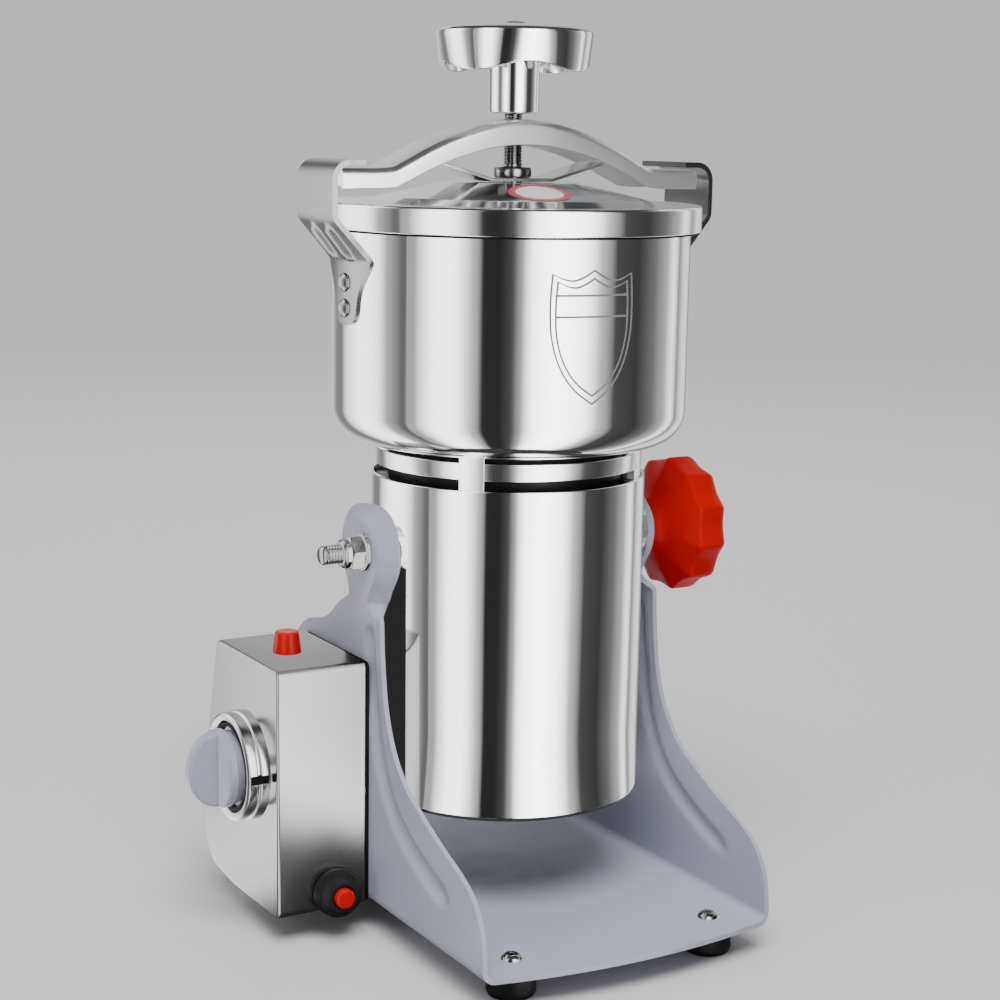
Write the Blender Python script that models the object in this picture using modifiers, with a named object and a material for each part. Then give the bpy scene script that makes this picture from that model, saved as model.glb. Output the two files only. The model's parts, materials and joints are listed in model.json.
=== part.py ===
"""Swing-type electric hammer mill: a steel bowl on a tilting motor, a folded stand and a control box.

Lengths are in millimetres and become metres in the helpers. The design frame has its origin under
the bowl's axis at floor level: +X runs along the tilt pivot towards the star knob, -Y is the front
and +Z is up. The empty "origin" shifts the whole machine so that its box is centred on the world's Z.
"""

import math

import bmesh
import bpy
from mathutils import Matrix, Vector

MM = 0.001
GAP = 0.3
MERGE = 0.00005

# Driving dimensions
FRAME_SHIFT = (19.546, 8.0)
PIVOT_Z = 161.6
FOOT_HEIGHT = 12.0
SHEET = 2.0
STAND_HALF_WIDTH = 67.8
STAND_FRONT = -104.0
STAND_REAR = 96.0
STAND_BOW = 8.0
MOTOR_RADIUS = 58.0
MOTOR_BOTTOM = 54.3
MOTOR_TOP = 191.3
COLLAR_RADIUS = 56.3
BOWL_RADIUS = 74.0
BOWL_WALL = 1.8
BOWL_BOTTOM = 205.0
BOWL_RIM = 298.6
LID_RADIUS = 78.4
LID_BAND_BOTTOM = 292.5
LID_TOP = 303.0
LID_CROWN = 311.2
SHEET_LID = 1.5
BEAM_HALF_LENGTH = 83.5
BEAM_HALF_WIDTH = 13.0
BEAM_KINK = 60.0
BEAM_END_TOP = 316.8
BEAM_RISE = 19.7
HOOK_SHEET = 2.2
HOOK_REACH = 87.3
WHEEL_RADIUS = 32.0
WHEEL_WAVE_TURN = -17.4
THREAD_RADIUS = 3.9
SHAFT_RADIUS = 5.0
BOX_INNER_X = -68.2
BOX_OUTER_X = -109.5
BOX_FRONT = -7.0
BOX_TOP = 117.0
TIMER_Y, TIMER_Z = 22.0, 71.0
RESET_X, RESET_Z = -84.0, 20.5
LAMP_X, LAMP_Y = -92.0, 22.0
STAR_RADIUS = 29.8
STAR_SCALLOPS = 11
STAR_TURN = -78.3
KNOB_RADIUS = 16.4
KNOB_DISC_TOP = 14.5
FOOT_X, FOOT_FRONT_Y, FOOT_REAR_Y = 47.0, -90.0, 80.0
RIVET_HEIGHTS = (271.7, 261.5)

LARGE, MEDIUM, SMALL = 40, 20, 10

for leftover in list(bpy.data.objects):
    bpy.data.objects.remove(leftover, do_unlink=True)

mill = bpy.data.collections.new("hammer_mill")
helpers = bpy.data.collections.new("cutters")
bpy.context.scene.collection.children.link(mill)
bpy.context.scene.collection.children.link(helpers)


# Materials

def finish(name, colour, roughness, metallic=0.0):
    """One Principled material."""
    material = bpy.data.materials.new(name)
    material.use_nodes = True
    shader = material.node_tree.nodes["Principled BSDF"]
    shader.inputs["Base Color"].default_value = (*colour, 1.0)
    shader.inputs["Roughness"].default_value = roughness
    shader.inputs["Metallic"].default_value = metallic
    return material


polished = finish("polished_steel", (0.80, 0.80, 0.81), 0.08, 1.0)
brushed = finish("brushed_steel", (0.72, 0.72, 0.73), 0.28, 1.0)
satin = finish("satin_aluminium", (0.82, 0.83, 0.84), 0.35, 1.0)
zinc = finish("zinc_plate", (0.66, 0.67, 0.66), 0.3, 1.0)
tool_steel = finish("tool_steel", (0.42, 0.42, 0.44), 0.35, 1.0)
laminations = finish("laminations", (0.30, 0.31, 0.33), 0.5, 1.0)
copper = finish("copper", (0.72, 0.35, 0.18), 0.3, 1.0)
painted = finish("silver_paint", (0.50, 0.50, 0.54), 0.35, 0.3)
black_rubber = finish("black_rubber", (0.02, 0.02, 0.02), 0.6)
black_plastic = finish("black_plastic", (0.03, 0.03, 0.03), 0.4)
grey_plastic = finish("grey_plastic", (0.72, 0.73, 0.74), 0.4)
red_plastic = finish("red_plastic", (0.62, 0.02, 0.03), 0.25)
silicone = finish("silicone", (0.86, 0.86, 0.84), 0.5)


# Placing

places = {}


def axis_empty(name, where, parent=None):
    """An empty on a joint's axis or at the design origin."""
    empty = bpy.data.objects.new(name, None)
    mill.objects.link(empty)
    start = places[parent] if parent else Vector((0.0, 0.0, 0.0))
    empty.parent = parent
    empty.location = (Vector(where) - start) * MM
    places[empty] = Vector(where)
    return empty


origin = axis_empty("origin", (0.0, 0.0, 0.0))
origin.location = (FRAME_SHIFT[0] * MM, FRAME_SHIFT[1] * MM, 0.0)
head = axis_empty("head_pivot", (0.0, 0.0, PIVOT_Z), origin)
spin = axis_empty("rotor_axis", (0.0, 0.0, BOWL_BOTTOM), head)
yoke = axis_empty("yoke_axis", (0.0, 0.0, BEAM_END_TOP), head)
lid_axis = axis_empty("lid_axis", (0.0, 0.0, LID_TOP), yoke)
spindle = axis_empty("spindle_axis", (0.0, 0.0, LID_CROWN), lid_axis)
star_axis = axis_empty("clamp_knob_axis", (68.0, 0.0, PIVOT_Z), head)
timer_axis = axis_empty("timer_axis", (BOX_OUTER_X, TIMER_Y, TIMER_Z), origin)
reset_axis = axis_empty("reset_axis", (RESET_X, BOX_FRONT, RESET_Z), origin)

TOWARDS = {
    "+Z": Matrix.Identity(3),
    "+X": Matrix.Rotation(math.pi / 2, 3, "Y"),
    "-X": Matrix.Rotation(-math.pi / 2, 3, "Y"),
    "-Y": Matrix.Rotation(math.pi / 2, 3, "X"),
}


def put(piece, parent, where, towards="+Z", turn=0.0):
    """Places a piece at a point of the design frame, its local +Z pointing along an axis."""
    piece.parent = parent
    piece.location = (Vector(where) - places[parent]) * MM
    rotation = TOWARDS[towards] @ Matrix.Rotation(turn, 3, "Z")
    piece.rotation_euler = rotation.to_euler()
    return piece


def new_piece(name, mesh, material, collection=mill):
    piece = bpy.data.objects.new(name, mesh)
    collection.objects.link(piece)
    if material:
        mesh.materials.append(material)
    if collection is helpers:
        piece.hide_render = True
        piece.display_type = "WIRE"
    return piece


def mesh_from(name, shape, smooth_angle=35.0):
    mesh = bpy.data.meshes.new(name)
    bmesh.ops.recalc_face_normals(shape, faces=shape.faces)
    shape.to_mesh(mesh)
    shape.free()
    mesh.shade_smooth()
    mesh.set_sharp_from_angle(angle=math.radians(smooth_angle))
    return mesh


# Shapes

def turned(name, profile, material, steps=LARGE, closed=False, collection=mill):
    """A turned shape: (radius, height) points down its outer side, swept round local Z."""
    mesh = bpy.data.meshes.new(name)
    points = [(radius * MM, 0.0, height * MM) for radius, height in profile]
    edges = [(i, i + 1) for i in range(len(points) - 1)]
    if closed:
        edges.append((len(points) - 1, 0))
    mesh.from_pydata(points, edges, [])
    piece = new_piece(name, mesh, material, collection)
    screw = piece.modifiers.new("turn", "SCREW")
    screw.steps = screw.render_steps = steps
    screw.use_merge_vertices = True
    screw.merge_threshold = MERGE
    screw.use_smooth_shade = True
    return piece


def rod(name, radius, low, high, material, steps=MEDIUM, chamfer=0.0, collection=mill):
    """A round bar between two heights, with chamfered ends when asked."""
    profile = [(0.0, high), (radius, high), (radius, low), (0.0, low)]
    if chamfer:
        inner = radius - chamfer
        profile = [(0.0, high), (inner, high), (radius, high - chamfer), (radius, low + chamfer),
                   (inner, low), (0.0, low)]
    return turned(name, profile, material, steps, collection=collection)


def ring(name, outer, inner, low, high, material, steps=MEDIUM, collection=mill):
    profile = [(outer, high), (outer, low), (inner, low), (inner, high)]
    return turned(name, profile, material, steps, closed=True, collection=collection)


def box(name, low, high, material, collection=mill):
    """A box between two corners, in millimetres about the piece's own origin."""
    shape = bmesh.new()
    bmesh.ops.create_cube(shape, size=1.0)
    size = Vector(high) - Vector(low)
    centre = (Vector(high) + Vector(low)) / 2
    bmesh.ops.scale(shape, vec=size * MM, verts=shape.verts)
    bmesh.ops.translate(shape, vec=centre * MM, verts=shape.verts)
    return new_piece(name, mesh_from(name, shape), material, collection)


def prism(name, outline, across, low, high, material, collection=mill):
    """A flat outline pushed along X, Y or Z. The outline's two numbers are the other two axes in order."""
    order = {"X": (1, 2), "Y": (0, 2), "Z": (0, 1)}[across]
    depth = "XYZ".index(across)
    shape = bmesh.new()
    verts = []
    for pair in outline:
        point = [0.0, 0.0, 0.0]
        point[order[0]], point[order[1]] = pair[0] * MM, pair[1] * MM
        point[depth] = low * MM
        verts.append(shape.verts.new(point))
    face = shape.faces.new(verts)
    pushed = bmesh.ops.extrude_face_region(shape, geom=[face])
    moved = [item for item in pushed["geom"] if isinstance(item, bmesh.types.BMVert)]
    push = Vector((0.0, 0.0, 0.0))
    push[depth] = (high - low) * MM
    bmesh.ops.translate(shape, vec=push, verts=moved)
    return new_piece(name, mesh_from(name, shape), material, collection)


def lofted(name, section, stations, material, collection=mill):
    """Skins the closed sections that section(station) gives, and caps both ends."""
    shape = bmesh.new()
    loops = [[shape.verts.new(Vector(p) * MM) for p in section(s)] for s in stations]
    for first, second in zip(loops, loops[1:]):
        count = len(first)
        for i in range(count):
            j = (i + 1) % count
            shape.faces.new((first[i], first[j], second[j], second[i]))
    shape.faces.new(loops[0])
    shape.faces.new(loops[-1])
    return new_piece(name, mesh_from(name, shape), material, collection)


def lobed(name, section, steps, material):
    """A knob: section(angle) lists (radius, height) from the top centre to the bottom centre."""
    shape = bmesh.new()
    first = section(0.0)
    top = shape.verts.new((0.0, 0.0, first[0][1] * MM))
    bottom = shape.verts.new((0.0, 0.0, first[-1][1] * MM))
    spokes = []
    for step in range(steps):
        angle = 2 * math.pi * step / steps
        spoke = []
        for radius, height in section(angle)[1:-1]:
            spoke.append(shape.verts.new(
                (radius * MM * math.cos(angle), radius * MM * math.sin(angle), height * MM)))
        spokes.append(spoke)
    for here, after in zip(spokes, spokes[1:] + spokes[:1]):
        shape.faces.new((top, here[0], after[0]))
        shape.faces.new((bottom, after[-1], here[-1]))
        for i in range(len(here) - 1):
            shape.faces.new((here[i], here[i + 1], after[i + 1], after[i]))
    return new_piece(name, mesh_from(name, shape, 50.0), material)


def boolean(piece, other, operation="DIFFERENCE"):
    step = piece.modifiers.new(operation.lower(), "BOOLEAN")
    step.operation = operation
    step.object = other
    step.solver = "EXACT"
    return piece


def bevelled(piece, width, segments=2, angle=40.0):
    step = piece.modifiers.new("edges", "BEVEL")
    step.width = width * MM
    step.segments = segments
    step.limit_method = "ANGLE"
    step.angle_limit = math.radians(angle)
    return piece


def arc(centre, radius, start, end, steps):
    """Points on an arc, in degrees."""
    points = []
    for i in range(steps + 1):
        angle = math.radians(start + (end - start) * i / steps)
        points.append((centre[0] + radius * math.cos(angle), centre[1] + radius * math.sin(angle)))
    return points


def rounded(corners, radii, steps=4):
    """The outline through the corners, each rounded by its own radius."""
    points = []
    count = len(corners)
    for i, (corner, radius) in enumerate(zip(corners, radii)):
        here = Vector(corner)
        back = (Vector(corners[i - 1]) - here).normalized()
        ahead = (Vector(corners[(i + 1) % count]) - here).normalized()
        if radius <= 0:
            points.append(tuple(here))
            continue
        half = back.angle(ahead) / 2
        reach = radius / math.tan(half)
        centre = here + (back + ahead).normalized() * (radius / math.sin(half))
        start = here + back * reach - centre
        end = here + ahead * reach - centre
        swing = start.angle_signed(end)
        for k in range(steps + 1):
            spoke = start.copy()
            spoke.rotate(Matrix.Rotation(-swing * k / steps, 2))
            points.append(tuple(centre + spoke))
    return points


def helper_cut(piece, cutter, parent, where=(0, 0, 0), towards="+Z", turn=0.0):
    put(cutter, parent, where, towards, turn)
    return boolean(piece, cutter)


def hex_nut(name, radius, bore, low, high, parent, where, towards="+Z"):
    nut = put(rod(name, radius, low, high, zinc, 6), parent, where, towards)
    tap = rod("cut_" + name, bore, low - 2, high + 2, None, SMALL, collection=helpers)
    return helper_cut(nut, tap, parent, where, towards)


# Stand

def stand_wall_outline():
    """One side wall as (y, z): a round ear over a swoosh to the front and a broad back behind the box."""
    ear = arc((0.0, PIVOT_Z), 20.0, 0.0, 180.0, 14)
    front = [(-104, 13), (-102, 32), (-95, 43), (-84, 50), (-69, 56), (-52, 64), (-38, 72), (-27, 84),
             (-20, 100), (-17, 120), (-16, 140)]
    rear = [(96, 13), (95, 34), (91, 56), (84, 80), (74, 103), (64, 116), (55, 122), (46, 126), (36, 128),
            (29, 131), (22.5, 137), (20, 146)]
    return [(STAND_REAR, 0.0)] + rear + ear + list(reversed(front)) + [(STAND_FRONT, 0.0)]


def stand_plan():
    """The base's outline seen from above, its front edge bowed forwards."""
    half = STAND_HALF_WIDTH
    bow = []
    for i in range(13):
        across = -half + 2 * half * i / 12
        bow.append((across, STAND_FRONT - STAND_BOW * (1 - (across / half) ** 2)))
    return bow + [(half, STAND_REAR), (-half, STAND_REAR)]


def make_stand():
    """A folded sheet: a U-shaped bar cut to the walls' side outline and to the base's plan."""
    half = STAND_HALF_WIDTH
    low = FOOT_HEIGHT
    bend = 5.0
    outer = [(-half, 200.0)] + arc((-half + bend, low + bend), bend, 180, 270, 4)
    outer += arc((half - bend, low + bend), bend, 270, 360, 4) + [(half, 200.0)]
    inner = [(half - SHEET, 200.0)] + arc((half - bend, low + bend), bend - SHEET, 360, 270, 4)
    inner += arc((-half + bend, low + bend), bend - SHEET, 270, 180, 4) + [(-half + SHEET, 200.0)]
    frame = prism("base_frame", outer + inner, "Y", STAND_FRONT - 15, STAND_REAR, painted)
    put(frame, origin, (0, 0, 0))
    side = prism("cut_side", stand_wall_outline(), "X", -half - 5, half + 5, None, helpers)
    lip = box("cut_lip", (-80, STAND_FRONT - 15, 0), (80, STAND_FRONT + 1, low + 4), None, helpers)
    boolean(side, put(lip, origin, (0, 0, 0)), "UNION")
    boolean(frame, put(side, origin, (0, 0, 0)), "INTERSECT")
    plan = prism("cut_plan", stand_plan(), "Z", 0.0, 220.0, None, helpers)
    boolean(frame, put(plan, origin, (0, 0, 0)), "INTERSECT")
    for name, at in (("left", -half - 1), ("right", half - SHEET - 1)):
        hole = rod("cut_pivot_" + name, 4.5, 0.0, SHEET + 2, None, SMALL, collection=helpers)
        helper_cut(frame, hole, origin, (at, 0, PIVOT_Z), "+X")
    for x, y in foot_places():
        hole = rod("cut_foot_hole", 2.5, -2.0, 4.0, None, SMALL, collection=helpers)
        helper_cut(frame, hole, origin, (x, y, FOOT_HEIGHT))
    lead = rod("cut_lead_hole", 6.0, -3.0, 3.0, None, SMALL, collection=helpers)
    helper_cut(frame, lead, origin, (-half + 1, 40.0, 60.0), "+X")
    for name, at in (("left", -half), ("right", half - SHEET)):
        helper_cut(frame, groove(name), origin, (at, 0, 0))


def groove(name):
    """A shallow pressed channel that follows the wall's front edge."""
    centre = [(-6, 127), (-8, 111), (-11, 95), (-15, 80), (-22, 66), (-31, 56), (-44, 48), (-57, 42),
              (-70, 37)]
    curve = bpy.data.curves.new("groove_" + name, "CURVE")
    curve.dimensions = "3D"
    spline = curve.splines.new("POLY")
    spline.points.add(len(centre) - 1)
    for point, (y, z) in zip(spline.points, centre):
        point.co = (0.0, y * MM, z * MM, 1.0)
    curve.bevel_depth = 4.0 * MM
    curve.bevel_resolution = 3
    curve.use_fill_caps = True
    guide = bpy.data.objects.new("groove_guide", curve)
    helpers.objects.link(guide)
    bpy.context.view_layer.update()
    graph = bpy.context.evaluated_depsgraph_get()
    mesh = bpy.data.meshes.new_from_object(guide.evaluated_get(graph))
    bpy.data.objects.remove(guide)
    shape = bmesh.new()
    shape.from_mesh(mesh)
    bmesh.ops.remove_doubles(shape, verts=shape.verts, dist=MERGE)
    bmesh.ops.scale(shape, vec=(0.25, 1.0, 1.0), verts=shape.verts)
    return new_piece("cut_groove_" + name, mesh_from("groove", shape), None, helpers)


def foot_places():
    return [(side * FOOT_X, y) for y in (FOOT_FRONT_Y, FOOT_REAR_Y) for side in (-1, 1)]


def make_feet():
    top = FOOT_HEIGHT - GAP
    low = FOOT_HEIGHT + SHEET + GAP
    pad = [(9.2, top), (10.0, top - 1), (10.0, 1.5), (9.0, 0.0), (2.3, 0.0), (2.3, top)]
    pan = [(0, low + 2.4), (2.6, low + 2.0), (4.2, low + 0.8), (4.2, low), (1.9, low), (1.9, 5.0), (0, 5.0)]
    for number, (x, y) in enumerate(foot_places(), 1):
        foot = turned(f"foot_{number}", pad, black_rubber, MEDIUM, closed=True)
        put(foot, origin, (x, y, 0))
        put(turned(f"foot_screw_{number}", pan, zinc, 12), origin, (x, y, 0))


# Control box

def box_outline():
    """The box's side as (y, z), cut back at its lower rear."""
    corners = [(BOX_FRONT, 11.8), (BOX_FRONT, BOX_TOP), (56.0, BOX_TOP), (76.0, 36.0), (66.0, 14.5),
               (40.0, 11.8)]
    return rounded(corners, (3.0, 3.0, 5.0, 26.0, 14.0, 0.0))


def make_control_box():
    shell = prism("control_box", box_outline(), "X", BOX_OUTER_X, BOX_INNER_X, brushed)
    put(shell, origin, (0, 0, 0))
    bevelled(shell, 1.5, 2, 50.0)
    inner = [(y * 0.952 + 1.6, z * 0.962 + 2.4) for y, z in box_outline()]
    hollow = prism("cut_box_hollow", inner, "X", BOX_OUTER_X + 2, BOX_INNER_X + 5, None, helpers)
    helper_cut(shell, hollow, origin)
    shaft = rod("cut_timer_shaft", 5.0, -5, 5, None, SMALL, collection=helpers)
    helper_cut(shell, shaft, origin, (BOX_OUTER_X, TIMER_Y, TIMER_Z), "+X")
    reset = rod("cut_reset", 6.0, -5, 5, None, SMALL, collection=helpers)
    helper_cut(shell, reset, origin, (RESET_X, BOX_FRONT, RESET_Z), "-Y")
    lamp = rod("cut_lamp", 3.4, -5, 5, None, SMALL, collection=helpers)
    helper_cut(shell, lamp, origin, (LAMP_X, LAMP_Y, BOX_TOP))
    inlet = rod("cut_inlet", 5.4, -6, 6, None, SMALL, collection=helpers)
    helper_cut(shell, inlet, origin, (-89.0, 75.0, 40.0), "-Y")


def make_timer():
    face = BOX_OUTER_X - GAP
    rings = [(21.5, 9.8), (22.6, 9.0), (22.6, 5.6), (21.9, 5.2), (21.9, 4.4), (23.0, 4.0), (23.0, 0.0),
             (5.0, 0.0), (5.0, 3.0), (17.0, 3.0), (17.0, 7.6), (19.5, 9.8)]
    bezel = turned("timer_bezel", rings, polished, 32, closed=True)
    put(bezel, origin, (face, TIMER_Y, TIMER_Z), "-X")
    body = ring("timer_body", 16.0, 3.0, -20.0, 0.0, black_plastic, 24)
    put(body, origin, (BOX_OUTER_X + 2 + GAP, TIMER_Y, TIMER_Z), "-X")

    top, blind = KNOB_DISC_TOP, KNOB_DISC_TOP - 1.2
    profile = [(0, top), (KNOB_RADIUS - 0.6, top), (KNOB_RADIUS, top - 0.6), (KNOB_RADIUS, 3.6), (2.9, 3.6),
               (2.9, blind), (0, blind)]
    knob = turned("timer_knob", profile, grey_plastic, 32)
    put(knob, timer_axis, (face, TIMER_Y, TIMER_Z), "-X")
    half = KNOB_RADIUS - 0.8
    outline = [(-half, top - 1.0)] + [(x, top + z * 0.82) for x, z in arc((0, 0), half, 180, 0, 16)]
    fin = prism("cut_fin", outline + [(half, top - 1.0)], "Y", -2.4, 2.4, None, helpers)
    boolean(knob, put(fin, timer_axis, (face, TIMER_Y, TIMER_Z), "-X"), "UNION")
    shaft = rod("timer_shaft", 2.6, -16.0, blind - 0.3, zinc, SMALL, 0.3)
    put(shaft, timer_axis, (face, TIMER_Y, TIMER_Z), "-X")


def make_reset():
    front = BOX_FRONT - GAP
    profile = [(6.8, 9.0), (9.0, 7.2), (10.0, 4.6), (10.0, 0.0), (5.6, 0.0), (5.6, -12.0), (4.6, -12.0),
               (4.6, 9.0)]
    collar = turned("reset_collar", profile, black_rubber, MEDIUM, closed=True)
    put(collar, origin, (RESET_X, front, RESET_Z), "-Y")
    button = rod("reset_button", 4.2, -6.0, 11.6, red_plastic, 24, 0.8)
    put(button, reset_axis, (RESET_X, front, RESET_Z), "-Y")
    body = box("breaker_body", (-7.5, -8.0, -30.0), (7.5, 8.0, -13.0), black_plastic)
    put(body, origin, (RESET_X, front, RESET_Z + 3), "-Y")


def make_lamp_and_gland():
    profile = [(0, 9.6), (3.6, 9.2), (5.0, 7.8), (6.0, 1.2), (6.0, GAP), (3.1, GAP), (3.1, -7.0), (0, -7.0)]
    lamp = turned("pilot_lamp", profile, red_plastic, MEDIUM)
    put(lamp, origin, (LAMP_X, LAMP_Y, BOX_TOP))
    profile = [(7.5, -0.5), (8.0, -1.2), (8.0, -4.0), (6.2, -5.0), (6.2, -9.0), (3.6, -9.0), (3.6, 8.0),
               (5.0, 8.0), (5.0, -0.5)]
    gland = turned("cable_gland", profile, black_rubber, MEDIUM, closed=True)
    put(gland, origin, (-89.0, 75.6, 40.0), "-Y")


# Motor

def make_motor_shell():
    r, low, top = MOTOR_RADIUS, MOTOR_BOTTOM, MOTOR_TOP
    shell = [(r, top - 1), (r, low + 3), (r - 1, low + 0.8), (r - 3, low), (r - 7, low), (r - 7, low + 1.5),
             (r - 3.4, low + 1.7), (r - 1.5, low + 3.4), (r - 1.5, top), (r - 1, top)]
    housing = put(turned("motor_housing", shell, polished, LARGE, closed=True), head, (0, 0, 0))
    for side in (-1, 1):
        hole = rod("cut_stud", 4.3, -5, 5, None, SMALL, collection=helpers)
        helper_cut(housing, hole, head, (side * r, 0, PIVOT_Z), "+X")
    cover = put(ring("bottom_cover", 56.0, 12.0, low + 5, low + 6.5, black_plastic, LARGE), head, (0, 0, 0))
    for step in range(6):
        slot = box("cut_vent", (20, -3, -3), (46, 3, 3), None, helpers)
        helper_cut(cover, slot, head, (0, 0, low + 5.5), "+Z", math.radians(60 * step + 30))


def make_vent_collar():
    """The ring of four posts and a band that holds the bowl over the motor's air gap."""
    r = COLLAR_RADIUS
    collar = put(ring("vent_collar", r, r - 2.5, 195.3, 202.0, brushed, LARGE), head, (0, 0, 0))
    for step in range(4):
        angle = math.radians(45 + 90 * step)
        post = box("cut_post", (50.0, -5.2, MOTOR_TOP + GAP), (r, 5.2, BOWL_BOTTOM - GAP), None, helpers)
        boolean(collar, put(post, head, (0, 0, 0), "+Z", angle), "UNION")


def make_motor_insides():
    put(ring("stator_core", 56.2, 33.0, 92.0, 138.0, laminations, MEDIUM), head, (0, 0, 0))
    for name, start in (("a", 18.0), ("b", 198.0)):
        coil = lofted("field_coil_" + name, coil_section, [start + 18.0 * i for i in range(9)], copper)
        put(coil, head, (0, 0, 0))
    for name, low in (("lower", 66.0), ("upper", 178.0)):
        bracket = ring("bracket_" + name, 15.0, 11.3, low, low + 9.0, satin, MEDIUM)
        put(bracket, head, (0, 0, 0))
        for side in (-1, 1):
            arm = box("cut_arm", (13.0, -9.0, low + 2), (55.6, 9.0, low + 6), None, helpers)
            boolean(bracket, put(arm, head, (0, 0, 0), "+Z", math.radians(90 + side * 90)), "UNION")
        bearing = ring("bearing_" + name, 11.0, SHAFT_RADIUS + GAP, low + 1, low + 8, tool_steel, MEDIUM)
        put(bearing, head, (0, 0, 0))
    for name, side in (("a", -1), ("b", 1)):
        brush = box("brush_holder_" + name, (12.6, -4.0, 79.0), (30.0, 4.0, 87.0), black_plastic)
        put(brush, head, (0, 0, 0), "+Z", math.radians(90 * side))


def coil_section(degrees):
    """An eight-sided section of a field coil's bar, at an angle round the axis."""
    angle = math.radians(degrees)
    centre = Vector((41.0 * math.cos(angle), 41.0 * math.sin(angle), 146.0))
    outward = Vector((math.cos(angle), math.sin(angle), 0.0))
    spokes = [math.radians(45 * i) for i in range(8)]
    return [centre + outward * 6.0 * math.cos(t) + Vector((0, 0, 6.5 * math.sin(t))) for t in spokes]


def make_rotor():
    shaft_profile = [(0, 240.0), (3.6, 239.5), (3.6, 213.5), (SHAFT_RADIUS, 213.5), (SHAFT_RADIUS, 62.0),
                     (0, 62.0)]
    put(turned("motor_shaft", shaft_profile, tool_steel, 24), spin, (0, 0, 0))
    bore = SHAFT_RADIUS + GAP
    put(ring("rotor_core", 32.0, bore, 93.0, 137.0, laminations, MEDIUM), spin, (0, 0, 0))
    put(ring("commutator", 12.0, bore, 77.5, 90.0, copper, 24), spin, (0, 0, 0))
    fan = put(ring("cooling_fan", 44.0, bore, 158.0, 159.5, black_plastic, MEDIUM), spin, (0, 0, 0))
    hub = ring("cut_fan_hub", 12.0, bore, 159.0, 168.0, None, 24, helpers)
    boolean(fan, put(hub, spin, (0, 0, 0)), "UNION")
    for step in range(8):
        vane = box("cut_vane", (9.0, -0.8, 158.7), (43.0, 0.8, 166.5), None, helpers)
        boolean(fan, put(vane, spin, (0, 0, 0), "+Z", math.radians(45 * step)), "UNION")


def blade(name, low, turn):
    """A flat hammer blade, its two arms swept back and tapered to the tips."""
    outline = [(9, -9), (40, -8), (63, -10), (65, -4), (63, 1), (30, 6), (9, 9)]
    outline += [(-x, -y) for x, y in outline]
    piece = prism(name, outline, "Z", low, low + 2.5, tool_steel)
    put(piece, spin, (0, 0, 0), "+Z", math.radians(turn))
    bore = rod("cut_blade_bore", 3.9, low - 3, low + 6, None, SMALL, collection=helpers)
    return helper_cut(piece, bore, spin)


def make_blades():
    blade("lower_blade", 214.0, 20.0)
    put(ring("blade_spacer", 9.0, 3.9, 216.8, 227.7, tool_steel, 24), spin, (0, 0, 0))
    blade("upper_blade", 228.0, 110.0)
    hex_nut("blade_nut", 7.5, 3.9, 230.8, 236.5, spin, (0, 0, 0))


# Bowl and its hooks

def make_bowl():
    outer, wall = BOWL_RADIUS, BOWL_WALL
    corner = 14.0
    low = BOWL_BOTTOM
    bore = SHAFT_RADIUS + GAP
    outside = [(outer, BOWL_RIM)] + arc((outer - corner, low + corner), corner, 0, -90, 4) + [(bore, low)]
    inside = [(bore, low + wall)] + arc((outer - corner, low + corner), corner - wall, -90, 0, 4)
    inside += [(outer - wall, BOWL_RIM)]
    bowl = put(turned("bowl", outside + inside, polished, LARGE, closed=True), head, (0, 0, 0))
    for side in (-1, 1):
        for height in RIVET_HEIGHTS:
            hole = rod("cut_rivet_bowl", 2.1, 60, 90, None, SMALL, collection=helpers)
            helper_cut(bowl, hole, head, (0, 0, height), "+X" if side > 0 else "-X")


def hook_path():
    """(distance from the axis, height, half width, how far it follows the bowl) up the inner face."""
    near, far, curl = BOWL_RADIUS + GAP, HOOK_REACH, 5.5
    path = [(near, 254.8, 3.0, 1.0), (near, 256.5, 6.6, 1.0), (near, 260.0, 8.6, 1.0),
            (near, 265.0, 9.4, 1.0), (near, 271.0, 11.8, 1.0), (near, 276.0, 15.4, 1.0),
            (near, 279.6, 17.5, 1.0), (near + 0.6, 281.6, 17.4, 0.9), (far - 1.0, 296.0, 16.7, 0.35),
            (far, 298.6, 16.4, 0.0), (far, 312.3, 16.4, 0.0)]
    for x, z in arc((far - curl, 312.3), curl, 22.5, 90.0, 3):
        path.append((x, z, 16.4, 0.0))
    path.append((75.0, 317.8, 16.3, 0.0))
    return path


def make_hook(name, side):
    near = BOWL_RADIUS + GAP
    shape = bmesh.new()
    rows = []
    for out, height, half, follow in hook_path():
        row = []
        for step in range(9):
            across = half * (step / 4 - 1)
            sag = (near - math.sqrt(near * near - across * across)) * follow
            row.append(shape.verts.new(((out - sag) * MM, across * MM, height * MM)))
        rows.append(row)
    for low, high in zip(rows, rows[1:]):
        for i in range(8):
            shape.faces.new((low[i], low[i + 1], high[i + 1], high[i]))
    mesh = bpy.data.meshes.new(name)
    shape.to_mesh(mesh)
    shape.free()
    mesh.shade_smooth()
    hook = new_piece(name, mesh, brushed)
    put(hook, head, (0, 0, 0), "+Z", 0.0 if side > 0 else math.pi)
    solid = hook.modifiers.new("sheet", "SOLIDIFY")
    solid.thickness = HOOK_SHEET * MM
    solid.offset = 1.0
    solid.use_even_offset = True
    for height in RIVET_HEIGHTS:
        hole = rod("cut_rivet_hook", 2.1, 60, 90, None, SMALL, collection=helpers)
        helper_cut(hook, hole, head, (0, 0, height), "+X" if side > 0 else "-X")


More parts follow.
